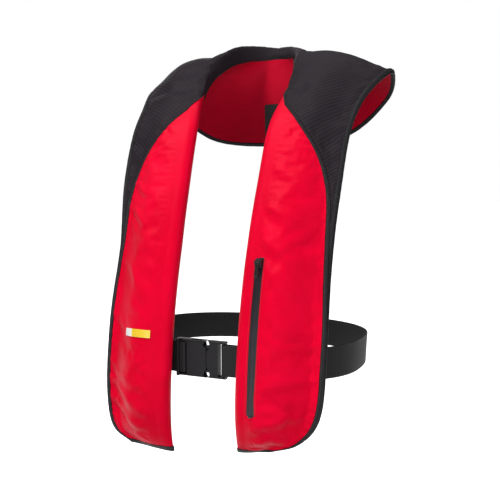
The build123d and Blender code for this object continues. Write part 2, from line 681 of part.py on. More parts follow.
save("socket_webbing", socket_loop)

plug_start = socket_mouth + 0.4
plug_end = plug_start + PLUG_LENGTH
latch_z = 14.8
latch_half = 2.1
plug = block((plug_start, plug_end), (-half_t + 0.6, half_t - 0.6), (-half_h, half_h))
plug = fillet(plug.edges().filter_by(Axis.X), 2.6)
slot_start = plug_end - BAR - BAR_SLOT
plug -= block((slot_start, slot_start + BAR_SLOT), (-9, 9), (-slot_z, slot_z))
plug -= block((slot_start + BAR_SLOT - 1, plug_end + 1), (bar_half, 9), (-slot_z, slot_z))
plug -= block((slot_start + BAR_SLOT - 1, plug_end + 1), (-9, -bar_half), (-slot_z, slot_z))
tongue_start = socket_mouth - LATCH_LENGTH - 3
plug += block((tongue_start, plug_start + 1), (-cavity_y + 0.4, cavity_y - 0.4), (-4.5, 4.5))
for side in (-1, 1):
    plug -= Pos(plug_start - 0.5, 0, side * (half_h - BITE_R)) * bite
    root = Pos(plug_start + 1.5, 0, side * latch_z) * Rot(X=90)
    plug -= root * Cylinder(latch_half + 0.9, 30)
    plug -= Pos(plug_start - 1, 0, side * latch_z) * Box(5, 30, 2 * latch_half + 3.4)
save("buckle_plug", (at_buckle * plug).solid())
save("plug_webbing", webbing_loop(plug_end - BAR - RUNNING, plug_end + LOOP_LENGTH, 2 * bar_half))
latch_y = cavity_y - 0.4
for name, side in (("latch_upper", 1), ("latch_lower", -1)):
    arm = block((-LATCH_LENGTH, 0), (-latch_y, latch_y), (-latch_half, latch_half))
    arm += Rot(X=90) * Cylinder(latch_half + 0.4, 2 * latch_y)
    head = block((-LATCH_LENGTH, -LATCH_LENGTH + 9), (-latch_y, latch_y), (0, cavity_z - 0.2 - latch_z))
    head = chamfer(head.edges().filter_by(Axis.Y).group_by(Axis.Z)[-1].sort_by(Axis.X)[0], 3.5)
    arm += head
    if side < 0:
        arm = arm.mirror(Plane.XY)
    save(name, (at_buckle * Pos(plug_start + 1.5, 0, side * latch_z) * arm).solid())
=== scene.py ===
import json
import bpy
import numpy as np
import bmesh
from math import asin, cos, pi, radians, sin, sqrt
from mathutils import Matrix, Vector, noise


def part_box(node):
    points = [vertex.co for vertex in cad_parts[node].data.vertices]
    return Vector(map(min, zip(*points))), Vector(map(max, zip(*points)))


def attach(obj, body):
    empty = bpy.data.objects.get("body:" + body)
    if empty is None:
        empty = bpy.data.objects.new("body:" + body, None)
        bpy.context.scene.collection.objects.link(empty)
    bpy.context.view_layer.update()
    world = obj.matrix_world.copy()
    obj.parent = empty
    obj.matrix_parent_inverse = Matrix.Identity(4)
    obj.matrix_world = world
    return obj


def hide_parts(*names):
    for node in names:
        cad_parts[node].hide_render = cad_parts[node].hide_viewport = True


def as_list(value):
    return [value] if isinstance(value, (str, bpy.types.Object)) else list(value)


# Looks of an inflatable life jacket: red lobes, a black shoulder yoke with a
# red lining, webbing belt and side-release buckle.  Lengths are millimetres
# until a mesh is made, which scales them to metres.
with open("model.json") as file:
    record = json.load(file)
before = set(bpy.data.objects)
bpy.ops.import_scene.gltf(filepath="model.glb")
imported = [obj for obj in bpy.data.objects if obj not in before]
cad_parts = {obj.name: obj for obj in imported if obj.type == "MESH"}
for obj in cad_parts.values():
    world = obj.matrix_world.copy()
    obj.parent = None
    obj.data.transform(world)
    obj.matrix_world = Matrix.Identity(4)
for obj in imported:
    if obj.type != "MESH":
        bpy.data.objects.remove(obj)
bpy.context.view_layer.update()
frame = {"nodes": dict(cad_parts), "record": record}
scene = bpy.context.scene
MM = 0.001

# ---- the yoke, as it was cut and as it hangs
LOBE_GAP = 90.0
LOBE_WIDTH = 108.0
SHOULDER_SPAN = 374.0
FRONT_DROP = 482.0
BACK_DROP = 90.0
BACK_DEPTH = 77.0
LOBE_REACH = 158.0
LOBE_BEND = 720.0          # radius to which the lobes curve over the chest
LOBE_BEND_Z = -450.0
LOBE_TWIST = 5.0
LOBE_THICKNESS = 22.0
LOBE_CROWN = 9.0
EDGE_PINCH = 4.6
FOLD = 14.0
CLOSURE_WIDTH = 12.0
BINDING_WIDTH = 4.2
CLOTH = 1.1
TRIM_WIDTH = 5.8           # bias tape over every raw edge
BACK_OVERHANG = 1.2        # how far the back sheets stand out past the front panels
LAST = 12
WHOLE = 2 * LAST

# ---- belt, buckle, zip
BELT_DROP = 370.0
BELT_WIDTH = 328.0
BELT_FRONT = 118.0
BELT_REAR = 128.0
BELT_MIDDLE_Y = -30.0
BELT_SQUARENESS = 2.465
BELT_START = 63.0
WEBBING = 40.0
WEBBING_THICKNESS = 1.6
ZIP_X = 71.0
ZIP_TOP_Z = -238.0
ZIP_BOTTOM_Z = -426.0
ZIP_WIDTH = 12.0

half_gap = LOBE_GAP / 2
outer = half_gap + LOBE_WIDTH
tip = SHOULDER_SPAN / 2
foot = -FRONT_DROP
belt_z = -BELT_DROP


# ======================================================== shape of the yoke
def lobe_y(z):
    """Body side of a lobe: a circular arc in side view."""
    return LOBE_BEND - LOBE_REACH - sqrt(LOBE_BEND**2 - (z - LOBE_BEND_Z) ** 2)


def lobe_pair(inner_x, outer_x, inner_z, outer_z):
    return (inner_x, lobe_y(inner_z), inner_z), (outer_x, lobe_y(outer_z) + LOBE_TWIST, outer_z)


# Stations from a lobe's foot, up the chest, over the shoulder to the middle
# of the back: inner edge, outer edge, thickness, arch of the body side,
# crown, rise of the collar's ridge over the inner edge, wrap-round.
STATIONS = [
    (*lobe_pair(half_gap, outer - 56, foot, foot + 2), 5.6, 0, 0, (0, 0, 0), 12),
    (*lobe_pair(half_gap, outer - 18, foot + 24, foot + 18), 16.0, 0, 5.0, (0, 0, 0), 12),
    (*lobe_pair(half_gap, outer - 2, foot + 60, foot + 57), LOBE_THICKNESS, 0, LOBE_CROWN, (0, 0, 0), 12),
    (*lobe_pair(half_gap, outer, -350, -350), LOBE_THICKNESS, 0, LOBE_CROWN, (0, 0, 0), 12),
    (*lobe_pair(half_gap + 1, outer - 2, -230, -230), LOBE_THICKNESS, 0, LOBE_CROWN, (0, 0, 0), 12),
    ((half_gap + 4, -98, -150), (outer + 2, -98, -150), 20.0, 0, 5.0, (0, 0, 0), 10),
    ((half_gap + 7, -72, -80), (outer + 5, -70, -85), 18.0, 1, 2.0, (0, 0, 0), 7),
    ((half_gap + 17, -38, -32), (tip - 21, -36, -42), 16.0, 3, 0.5, (0, 0, 0), 3),
    ((half_gap + 16, -14, -3), (tip - 5, 4, -10), 15.0, 6, 0, (0, 0, 3), 1),
    ((half_gap + 5, 18, 20), (tip, 34, -4), 15.0, 9, 0, (0, 0, 6), 1),
    ((half_gap - 7, BACK_DEPTH - 31, 32), (tip - 17, 68, -34), 16.0, 13, 0, (0, 1, 12), 1),
    ((20, BACK_DEPTH - 9, 40), (tip - 82, 82, 10 - BACK_DROP), 18.0, 8, 0, (0, 2, 15), 1),
    ((0, BACK_DEPTH, 44), (0, BACK_DEPTH + 6, -BACK_DROP), 20.0, 0, 0, (0, 2, 14), 1),
]
# The right shoulder hangs lower than the left: shift of its outer edge.
RIGHT_DROOP = {7: (-3, 0, -3), 8: (-8, 0, -6), 9: (-12, 0, -9), 10: (-5, 0, -4)}
# The right lobe hangs a little longer and narrower, with a smaller corner.
RIGHT_FOOT = {0: (0, 0, -8), 1: (0, 0, -6), 2: (0, 0, -2)}
RIGHT_EDGE = {0: (14, 0, 0), 1: (4, 0, 0), 2: (-3, 0, 0), 3: (-4, 0, 0), 4: (-3, 0, 0), 5: (-1, 0, 0)}
RIGHT_ARCH = {8: 7, 9: 8, 10: 3}
# The left lobe's outer corner is cut away further, and its foot is higher.
LEFT_FOOT = {0: (0, 0, 5), 1: (0, 0, 3)}
LEFT_EDGE = {0: (-10, 0, 3), 1: (-11, 0, 3), 2: (-3, 0, 2)}
# The collar's ridge stands higher on the right: extra rise.
RIGHT_RIDGE = {8: 3, 9: 9, 10: 8, 11: 3}
# How much of a lobe's width the front panel takes, every half station from
# station 4 up.  -1 is the body side of the fold, 0 its front, 1 the edge.
PANEL_TOP = [0.93, 0.90, 0.815, 0.64, 0.33, -0.05, -0.5, -1.0, -1.0]


def through(values, place):
    """A smooth curve through evenly spaced values."""
    index = int(min(max(place, 0), len(values) - 2))
    part = place - index
    start, end = values[index], values[index + 1]
    before = values[index - 1] if index else start * 2 - end
    after = values[index + 2] if index + 2 < len(values) else end * 2 - start
    return 0.5 * (
        start * 2
        + (end - before) * part
        + (before * 2 - start * 5 + end * 4 - after) * part**2
        + (start * 3 - before - end * 3 + after) * part**3
    )


def station_column(column, hand):
    values = []
    for number, station in enumerate(STATIONS):
        value = np.array(station[column], float)
        if column < 2:
            lengthening = RIGHT_FOOT if hand < 0 else LEFT_FOOT
            value = value + np.array(lengthening.get(number, (0, 0, 0)), float)
        if column == 1 and hand > 0:
            value = value + np.array(LEFT_EDGE.get(number, (0, 0, 0)), float)
        if column == 1 and hand < 0:
            value = value + np.array(RIGHT_DROOP.get(number, (0, 0, 0)), float)
            value = value + np.array(RIGHT_EDGE.get(number, (0, 0, 0)), float)
        if column == 3 and hand < 0:
            value = value + RIGHT_ARCH.get(number, 0)
        if column == 5 and hand < 0:
            value = value + np.array((0, 0, RIGHT_RIDGE.get(number, 0)), float)
        values.append(value)
    beyond = values[-2].copy()
    if column < 2:
        beyond[0] = -beyond[0]
    return values + [beyond]


COLUMNS = {(column, hand): station_column(column, hand) for column in range(7) for hand in (-1, 1)}


def unit(vector):
    return vector / max(np.linalg.norm(vector), 1e-12)


class Cut:
    """The cut through the yoke at one place: 0 at the left foot, 12 at the
    centre back, 24 at the right foot."""

    STEP = 0.02

    def __init__(self, place):
        self.hand = 1 if place <= LAST else -1
        self.place = min(place, WHOLE - place)
        low, high = max(self.place - self.STEP, 0), min(self.place + self.STEP, LAST)
        self.inner = self.edge(0, self.place)
        across = self.edge(1, self.place) - self.inner
        along = self.edge(0, high) + self.edge(1, high) - self.edge(0, low) - self.edge(1, low)
        self.width = np.linalg.norm(across)
        self.across = unit(across)
        self.along = unit(along)
        self.out = unit(np.cross(self.across, along))
        self.thickness, self.arch, self.crown, self.rise, self.wrap = (
            through(COLUMNS[column, self.hand], self.place) for column in range(2, 7)
        )
        self.wrap = max(float(self.wrap), 1.0)
        self.fold = min(FOLD, self.width * 0.3)
        self.flat = self.width - self.fold

    def edge(self, column, place):
        point = through(COLUMNS[column, self.hand], place)
        if place < 4:
            point[1] = lobe_y(point[2]) + LOBE_TWIST * column
        return point

    def sided(self, points):
        return points * np.array([self.hand, 1, 1])

    def at(self, reach, height):
        """Points at a reach from the inner edge and a height over the body side."""
        reach, height = np.broadcast_arrays(np.asarray(reach, float), np.asarray(height, float))
        share = np.maximum(reach, 0) / self.width
        bow = 4 * self.arch * share * (1 - share)
        return self.sided(self.inner + reach[..., None] * self.across + (height + bow)[..., None] * self.out)

    def cover(self, w, depth=0.0):
        """Points on the cover: -1 to 0 goes round the fold, 0 to 1 across the front."""
        w, depth = np.broadcast_arrays(np.asarray(w, float), np.asarray(depth, float))
        radius = self.thickness / 2
        angle = pi * (np.minimum(w, 0) + 1)
        side = np.where(w < -0.5, self.wrap, self.fold)
        around = side - (side - depth * (side > 2)) * np.sin(angle)
        swell = radius - (radius - depth) * np.cos(angle)
        pinch = (self.flat - CLOSURE_WIDTH - BINDING_WIDTH) / self.flat
        share = np.clip(w / pinch, 0, 1)
        front = EDGE_PINCH + (self.thickness - EDGE_PINCH) * np.cos(pi / 2 * share**1.5) ** 2
        front = front + self.crown * np.sin(pi * share) - depth
        folded = w < 0
        points = self.at(np.where(folded, around, self.fold + w * self.flat), np.where(folded, swell, front))
        lift = np.where(folded, np.sin(angle) * (1 - depth / 30), 0.0)
        return points + lift[..., None] * self.rise * np.array([self.hand, 1, 1])


CUTS = {}


def cut(place):
    key = round(float(place), 5)
    if key not in CUTS:
        CUTS[key] = Cut(key)
    return CUTS[key]


def panel_edge(place):
    """Where a front panel ends across the lobe."""
    place = min(place, WHOLE - place)
    if place < 4:
        return PANEL_TOP[0]
    return max(float(through(PANEL_TOP, min((place - 4) * 2, 8))), -1.0)


def smooth(low, high, value):
    """0 below low, 1 above high, eased between."""
    share = np.clip((np.asarray(value, float) - low) / (high - low), 0, 1)
    return share * share * (3 - 2 * share)


# ======================================================= mesh building
def make_mesh(name, points, faces, material, uv=None):
    """A smooth-shaded piece from points in millimetres."""
    mesh = bpy.data.meshes.new(name)
    mesh.from_pydata((np.asarray(points) * MM).tolist(), [], faces)
    if uv is not None:
        layer = mesh.uv_layers.new(name="cloth")
        index = np.zeros(len(mesh.loops), int)
        mesh.loops.foreach_get("vertex_index", index)
        layer.data.foreach_set("uv", (np.asarray(uv)[index] * MM).ravel())
    mesh.shade_smooth()
    piece = bpy.data.objects.new(name, mesh)
    scene.collection.objects.link(piece)
    mesh.materials.append(material)
    return piece


def grid_faces(rows, columns, closed=False):
    faces = []
    for r in range(rows - 1):
        for c in range(columns if closed else columns - 1):
            n = (c + 1) % columns
            faces.append((r * columns + c, r * columns + n, (r + 1) * columns + n, (r + 1) * columns + c))
    return faces


def grid_uv(points):
    """Flat lengths along and across a grid, so that a weave keeps its scale."""
    steps = np.linalg.norm(np.diff(points, axis=0), axis=2).mean(axis=1)
    along = np.concatenate([[0], np.cumsum(steps)])
    across = np.cumsum(np.linalg.norm(np.diff(points, axis=1), axis=2), axis=1)
    across = np.concatenate([np.zeros((len(points), 1)), across], axis=1)
    return np.stack([np.broadcast_to(along[:, None], across.shape), across], axis=2).reshape(-1, 2)


def grid_piece(name, points, material, closed=False):
    """A piece from rows of points; closed joins each row's end to its start."""
    rows, columns = points.shape[:2]
    uv = grid_uv(points)
    if not closed:
        return make_mesh(name, points.reshape(-1, 3), grid_faces(rows, columns), material, uv)
    faces = grid_faces(rows, columns, closed=True)
    faces.append(tuple(range(columns))[::-1])
    faces.append(tuple((rows - 1) * columns + c for c in range(columns)))
    return make_mesh(name, points.reshape(-1, 3), faces, material, uv)


def values_of(items, label, width=3):
    """One property of a mesh's points or faces, as an array."""
    values = np.zeros(len(items) * width)
    items.foreach_get(label, values)
    return values.reshape(-1, width)


def move_to(piece, points):
    piece.data.vertices.foreach_set("co", points.ravel())
    piece.data.update()


def face_outwards(piece, away_from):
    """Turns the faces so that their normals point away from a point."""
    mesh = piece.data
    mesh.update()
    centre = values_of(mesh.polygons, "center")
    normal = values_of(mesh.polygons, "normal")
    area = values_of(mesh.polygons, "area", 1)[:, 0]
    if ((centre - np.array(away_from) * MM) * normal).sum(1) @ area < 0:
        mesh.flip_normals()
    return piece


def joined(name, pieces):
    """Several meshes made into one piece."""
    bpy.ops.object.select_all(action="DESELECT")
    for piece in pieces:
        piece.select_set(True)
    bpy.context.view_layer.objects.active = pieces[0]
    bpy.ops.object.join()
    pieces[0].name = name
    pieces[0].data.name = name
    return pieces[0]


def soften(piece):
    soft = piece.modifiers.new("Soften", "SUBSURF")
    soft.levels = 1
    soft.render_levels = 1
    return piece


def thicken(piece, thickness):
    """Gives a sheet its thickness, inwards from its outer face."""
    solid = piece.modifiers.new("Cloth thickness", "SOLIDIFY")
    solid.thickness = thickness * MM
    solid.offset = -1
    return soften(piece)


def fitted(piece, body, slot, *nodes):
    """Rides on a body and stands for CAD nodes, whose parts it hides; the slot is not used."""
    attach(piece, body)
    if nodes:
        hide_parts(*nodes)
    return piece


def spread(low, high, count):
    return np.linspace(low, high, count)


# ======================================================= materials
def group_tree(name, inputs, outputs):
    tree = bpy.data.node_groups.new(name, "ShaderNodeTree")
    for label, value in inputs:
        socket = tree.interface.new_socket(label, in_out="INPUT", socket_type="NodeSocketFloat")
        socket.default_value = value
    for label in outputs:
        tree.interface.new_socket(label, in_out="OUTPUT", socket_type="NodeSocketFloat")
    return tree, tree.nodes.new("NodeGroupInput"), tree.nodes.new("NodeGroupOutput")


class Wiring:
    """Short ways to add nodes to a tree."""

    def __init__(self, tree):
        self.tree = tree

    def node(self, kind, **settings):
        made = self.tree.nodes.new(kind)
        for key, value in settings.items():
            setattr(made, key, value)
        return made

    def link(self, source, target):
        self.tree.links.new(source, target)

    def put(self, socket, value):
        if isinstance(value, bpy.types.NodeSocket):
            self.link(value, socket)
        else:
            socket.default_value = value

    def math(self, operation, a, b=0.0, clamp=False):
        made = self.node("ShaderNodeMath", operation=operation, use_clamp=clamp)
        self.put(made.inputs[0], a)
        self.put(made.inputs[1], b)
        return made.outputs[0]

    def noise(self, place, scale, detail=3.0, rough=0.55, distortion=0.0):
        made = self.node("ShaderNodeTexNoise")
        self.put(made.inputs["Vector"], place)
        self.put(made.inputs["Scale"], scale)
        made.inputs["Detail"].default_value = detail
        made.inputs["Roughness"].default_value = rough
        made.inputs["Distortion"].default_value = distortion
        return made.outputs["Fac"]

    def span(self, value, low, high, to_low, to_high):
        made = self.node("ShaderNodeMapRange")
        self.put(made.inputs["Value"], value)
        for label, number in (
            ("From Min", low), ("From Max", high), ("To Min", to_low), ("To Max", to_high),
        ):
            self.put(made.inputs[label], number)
        return made.outputs["Result"]

    def mix(self, share, first, second):
        made = self.node("ShaderNodeMix", data_type="RGBA")
        self.put(made.inputs[0], share)
        self.put(made.inputs[6], first)
        self.put(made.inputs[7], second)
        return made.outputs[2]


def flat_lengths(w):
    """Flat lengths along and across a piece, in metres."""
    parts = w.node("ShaderNodeSeparateXYZ")
    w.link(w.node("ShaderNodeUVMap", uv_map="cloth").outputs[0], parts.inputs[0])
    return parts.outputs[0], parts.outputs[1]


def weave_group():
    """Plain weave: height of crossing threads, from flat lengths in metres."""
    tree, given, result = group_tree("Plain weave", [("Threads", 1800.0)], ["Height"])
    w = Wiring(tree)
    along, across = flat_lengths(w)
    waves = []
    for length in (along, across):
        turns = w.math("MULTIPLY", length, given.outputs["Threads"])
        waves.append(w.math("SINE", w.math("MULTIPLY", turns, pi)))
    crossing = w.math("MULTIPLY", waves[0], waves[1])
    w.link(w.math("ABSOLUTE", crossing), result.inputs["Height"])
    return tree


def ripstop_group():
    """Small raised lattice of heavier threads over a fine weave."""
    tree, given, result = group_tree(
        "Ripstop lattice", [("Cells", 300.0), ("Line", 0.2)], ["Height", "Lines"],
    )
    w = Wiring(tree)
    along, across = flat_lengths(w)
    lines = []
    for sign in (1, -1):
        slanted = w.math("ADD", along, w.math("MULTIPLY", across, 0.6 * sign))
        cell = w.math("PINGPONG", w.math("MULTIPLY", slanted, given.outputs["Cells"]), 0.5)
        lines.append(w.span(cell, 0.0, given.outputs["Line"], 1.0, 0.0))
    lattice = w.math("MAXIMUM", lines[0], lines[1])
    w.link(lattice, result.inputs["Lines"])
    w.link(lattice, result.inputs["Height"])
    return tree


def ribs_group():
    """Webbing: ribs across the strap and a tighter line at each selvedge."""
    tree, given, result = group_tree("Webbing ribs", [("Ribs", 620.0), ("Width", 0.04)], ["Height", "Edge"])
    w = Wiring(tree)
    along, across = flat_lengths(w)
    rib = w.math("SINE", w.math("MULTIPLY", w.math("MULTIPLY", along, given.outputs["Ribs"]), 2 * pi))
    cord = w.math("SINE", w.math("MULTIPLY", w.math("MULTIPLY", across, 900.0), 2 * pi))
    height = w.math("ADD", w.math("MULTIPLY", rib, 0.5), w.math("MULTIPLY", cord, 0.22))
    from_edge = w.math("PINGPONG", across, w.math("MULTIPLY", given.outputs["Width"], 0.5))
    edge = w.span(from_edge, 0.001, 0.0026, 1.0, 0.0)
    w.link(height, result.inputs["Height"])
    w.link(edge, result.inputs["Edge"])
    return tree


def patches_group():
    """Slow change of tone over a surface, with finer specks."""
    tree, given, result = group_tree("Patches", [("Size", 22.0), ("Specks", 900.0)], ["Broad", "Fine"])
    w = Wiring(tree)
    place = w.node("ShaderNodeTexCoord").outputs["Object"]
    w.link(w.noise(place, given.outputs["Size"], 4.0, 0.6, 0.4), result.inputs["Broad"])
    w.link(w.noise(place, given.outputs["Specks"], 2.0, 0.5), result.inputs["Fine"])
    return tree


def wear_group():
    """Rubbed corners of hard parts: 1 on sharp outer edges."""
    tree, given, result = group_tree("Rubbed edges", [("Start", 0.53), ("End", 0.6)], ["Worn"])
    w = Wiring(tree)
    sharp = w.node("ShaderNodeNewGeometry").outputs["Pointiness"]
    place = w.node("ShaderNodeTexCoord").outputs["Object"]
    worn = w.span(sharp, given.outputs["Start"], given.outputs["End"], 0.0, 1.0)
    patch = w.span(w.noise(place, 260.0, 3.0), 0.35, 0.65, 0.25, 1.0)
    w.link(w.math("MULTIPLY", worn, patch, clamp=True), result.inputs["Worn"])
    return tree


GROUPS = {
    "weave": weave_group(),
    "ripstop": ripstop_group(),
    "ribs": ribs_group(),
    "patches": patches_group(),
    "wear": wear_group(),
}


def finish_material(name, **shader_values):
    """A material with its shader, and the wiring to add to it."""
    material = bpy.data.materials.new(name)
    material.use_nodes = True
    shader = material.node_tree.nodes["Principled BSDF"]
    for label, value in shader_values.items():
        shader.inputs[label.replace("_", " ")].default_value = value
    return material, shader, Wiring(material.node_tree)


def use_group(w, name, **values):
    node = w.node("ShaderNodeGroup", node_tree=GROUPS[name])
    for label, value in values.items():
        node.inputs[label].default_value = value
    return node


def rgb(red, green, blue):
    return (red, green, blue, 1.0)


def add_relief(w, shader, height, strength, distance):
    """Raises a material's surface by a height, distance in metres."""
    relief = w.node("ShaderNodeBump")
    relief.inputs["Strength"].default_value = strength
    relief.inputs["Distance"].default_value = distance
    w.link(height, relief.inputs["Height"])
    w.link(relief.outputs[0], shader.inputs["Normal"])


def coated_cloth(name, dark, light, roughness, threads, bump, **shader_values):
    """Woven nylon with a smooth coating: broad sheen, faint weave, uneven dye."""
    material, shader, w = finish_material(name, **shader_values)
    patches = use_group(w, "patches", Size=14.0, Specks=700.0)
    weave = use_group(w, "weave", Threads=threads)
    tone = w.math(
        "ADD",
        w.math("MULTIPLY", patches.outputs["Broad"], 0.85),
        w.math("MULTIPLY", patches.outputs["Fine"], 0.15),
    )
    w.link(w.mix(w.span(tone, 0.3, 0.7, 0.0, 1.0), dark, light), shader.inputs["Base Color"])
    w.link(
        w.span(patches.outputs["Broad"], 0.3, 0.7, roughness - 0.05, roughness + 0.06),
        shader.inputs["Roughness"],
    )
    height = w.math("ADD", w.math("MULTIPLY", weave.outputs["Height"], 0.6), patches.outputs["Fine"])
    add_relief(w, shader, height, bump, 0.00012)
    return material


def ripstop_cloth(name, dark, light, cells, roughness):
    """Black shoulder cloth: a fine raised lattice that catches the light."""
    material, shader, w = finish_material(name, Specular_IOR_Level=0.10, Specular_Tint=rgb(1.0, 0.86, 0.95))
    ripstop = use_group(w, "ripstop", Cells=cells, Line=0.2)
    weave = use_group(w, "weave", Threads=1500.0)
    patches = use_group(w, "patches", Size=12.0, Specks=800.0)
    share = w.math("MULTIPLY", ripstop.outputs["Lines"], 0.75)
    share = w.math("ADD", share, w.math("MULTIPLY", patches.outputs["Broad"], 0.3), clamp=True)
    w.link(w.mix(share, dark, light), shader.inputs["Base Color"])
    w.link(
        w.span(ripstop.outputs["Lines"], 0.0, 1.0, roughness, roughness - 0.12), shader.inputs["Roughness"],
    )
    height = w.math("ADD", ripstop.outputs["Height"], w.math("MULTIPLY", weave.outputs["Height"], 0.35))
    add_relief(w, shader, height, 0.6, 0.00022)
    return material


def webbing_material(name, dark, light, ribs, width, roughness=0.6):
    material, shader, w = finish_material(name, Specular_IOR_Level=0.16)
    rib = use_group(w, "ribs", Ribs=ribs, Width=width)
    patches = use_group(w, "patches", Size=30.0, Specks=1400.0)
    share = w.math(
        "ADD",
        w.math("MULTIPLY", rib.outputs["Height"], 0.3),
        w.math("MULTIPLY", patches.outputs["Fine"], 0.7),
        clamp=True,
    )
    w.link(w.mix(share, dark, light), shader.inputs["Base Color"])
    w.link(w.span(rib.outputs["Edge"], 0.0, 1.0, roughness, roughness - 0.12), shader.inputs["Roughness"])
    add_relief(w, shader, rib.outputs["Height"], 0.55, 0.0003)
    return material


def hard_material(name, colour, worn_colour, roughness, grain, **shader_values):
    """Moulded or machined parts: fine grain, uneven gloss, rubbed corners."""
    material, shader, w = finish_material(name, **shader_values)
    patches = use_group(w, "patches", Size=60.0, Specks=grain)
    wear = use_group(w, "wear")
    toned = w.mix(w.span(patches.outputs["Broad"], 0.3, 0.7, 0.0, 0.35), colour, worn_colour)
    w.link(
        w.mix(w.math("MULTIPLY", wear.outputs["Worn"], 0.6), toned, worn_colour),
        shader.inputs["Base Color"],
    )
    w.link(
        w.span(patches.outputs["Broad"], 0.25, 0.75, roughness - 0.06, roughness + 0.08),
        shader.inputs["Roughness"],
    )
    add_relief(w, shader, patches.outputs["Fine"], 0.25, 0.00008)
    return material


MATERIALS = {
    "red_cloth": coated_cloth(
        "Red coated cloth", rgb(0.56, 0.0, 0.016), rgb(0.70, 0.0, 0.025), 0.46, 1700.0, 0.5,
        Specular_Tint=rgb(1.0, 0.10, 0.20), Specular_IOR_Level=0.17,
    ),
    "red_lining": coated_cloth(
        "Red lining cloth", rgb(0.38, 0.0, 0.012), rgb(0.50, 0.0, 0.019), 0.5, 1500.0, 0.7,
        Specular_Tint=rgb(1.0, 0.2, 0.28), Specular_IOR_Level=0.3,
    ),
    "black_ripstop": ripstop_cloth(
        "Black ripstop", rgb(0.005, 0.0036, 0.005), rgb(0.026, 0.020, 0.025), 225.0, 0.6,
    ),
    "black_cloth": coated_cloth(
        "Black back cloth", rgb(0.007, 0.006, 0.008), rgb(0.015, 0.013, 0.016), 0.55, 1500.0, 0.7,
        Specular_IOR_Level=0.2
    ),
    "black_binding": webbing_material(
        "Black bias tape", rgb(0.003, 0.0026, 0.0034), rgb(0.010, 0.008, 0.011), 1500.0, 0.012, 0.52,
    ),
    "hook_and_loop": coated_cloth(
        "Hook and loop", rgb(0.010, 0.010, 0.011), rgb(0.05, 0.05, 0.052), 0.85, 600.0, 1.0, Sheen_Weight=0.4
    ),
    "bladder_film": coated_cloth(
        "Coated bladder cloth", rgb(0.78, 0.55, 0.01), rgb(0.88, 0.66, 0.03), 0.38, 1600.0, 0.4,
        Specular_IOR_Level=0.4
    ),
    "black_webbing": webbing_material(
        "Black webbing", rgb(0.004, 0.004, 0.004), rgb(0.017, 0.016, 0.017), 480.0, WEBBING * MM,
    ),
    "black_acetal": hard_material(
        "Moulded black acetal", rgb(0.0035, 0.003, 0.004), rgb(0.009, 0.008, 0.010), 0.40, 900.0,
        Specular_IOR_Level=0.14
    ),
    "zip_tape": coated_cloth(
        "Coated zip tape", rgb(0.006, 0.005, 0.008), rgb(0.014, 0.011, 0.016), 0.42, 900.0, 0.3,
        Specular_IOR_Level=0.25
    ),
    "zip_metal": hard_material(
        "Black painted die casting", rgb(0.006, 0.006, 0.007), rgb(0.04, 0.04, 0.042), 0.28, 1200.0,
        Specular_IOR_Level=0.35
    ),
    "zinc_steel": hard_material(
        "Zinc plated steel", rgb(0.42, 0.43, 0.45), rgb(0.56, 0.57, 0.58), 0.32, 500.0, Metallic=1.0
    ),
    "grey_plastic": hard_material(
        "Grey moulded plastic", rgb(0.045, 0.046, 0.05), rgb(0.09, 0.09, 0.095), 0.45, 900.0,
    ),
    "yellow_plastic": hard_material(
        "Yellow plastic", rgb(0.72, 0.48, 0.01), rgb(0.85, 0.62, 0.05), 0.3, 900.0, Coat_Weight=0.2,
    ),
    "brass": hard_material(
        "Turned brass", rgb(0.62, 0.42, 0.15), rgb(0.78, 0.58, 0.26), 0.28, 700.0, Metallic=1.0,
    ),
    "black_rubber": hard_material(
        "Black rubber", rgb(0.009, 0.009, 0.009), rgb(0.028, 0.028, 0.028), 0.62, 700.0,
    ),
    "red_plastic": hard_material("Red plastic", rgb(0.5, 0.012, 0.01), rgb(0.66, 0.04, 0.03), 0.3, 900.0),
    "orange_plastic": hard_material(
        "Orange plastic", rgb(0.85, 0.17, 0.01), rgb(0.92, 0.26, 0.03), 0.32, 900.0, Coat_Weight=0.2,
    ),
    "label_cloth": coated_cloth(
        "Woven label", rgb(0.66, 0.66, 0.64), rgb(0.80, 0.80, 0.78), 0.5, 1300.0, 0.8, Sheen_Weight=0.2
    ),
    "thread_black": coated_cloth(
        "Black thread", rgb(0.014, 0.013, 0.015), rgb(0.05, 0.047, 0.052), 0.6, 3000.0, 0.6,
    ),
    "thread_red": coated_cloth(
        "Red thread", rgb(0.40, 0.0, 0.012), rgb(0.55, 0.005, 0.02), 0.55, 3000.0, 0.6,
    ),
}
SLOT_OF_NODE = {row["node"]: row["material_slot"] for row in frame["record"]["subparts"]}
for node_name, node_object in frame["nodes"].items():
    node_object.data.materials.clear()
    node_object.data.materials.append(MATERIALS[SLOT_OF_NODE[node_name]])


# ======================================================= zip line
zip_cut = cut(3)
zip_place = (ZIP_X - half_gap - FOLD) / zip_cut.flat
zip_point, zip_beside = zip_cut.cover([zip_place, zip_place + 0.02])
zip_axis_y = LOBE_BEND - LOBE_REACH + LOBE_TWIST * (ZIP_X - half_gap) / LOBE_WIDTH
zip_radius = sqrt((zip_point[1] - zip_axis_y) ** 2 + (zip_point[2] - LOBE_BEND_Z) ** 2)
beside_radius = sqrt((zip_beside[1] - zip_axis_y) ** 2 + (zip_beside[2] - LOBE_BEND_Z) ** 2)
zip_tilt = asin((beside_radius - zip_radius) / np.linalg.norm(zip_beside - zip_point))
zip_top = asin((ZIP_TOP_Z - LOBE_BEND_Z) / zip_radius)
zip_bottom = asin((ZIP_BOTTOM_Z - LOBE_BEND_Z) / zip_radius)


def on_zip(angle, across, height):
    """Point by the zip: across it, and height outwards from the cover."""
    x = ZIP_X + across * cos(zip_tilt) + height * sin(zip_tilt)
    radius = zip_radius + across * sin(zip_tilt) + height * cos(zip_tilt)
    return np.array([x, zip_axis_y - radius * cos(angle), LOBE_BEND_Z + radius * sin(angle)])


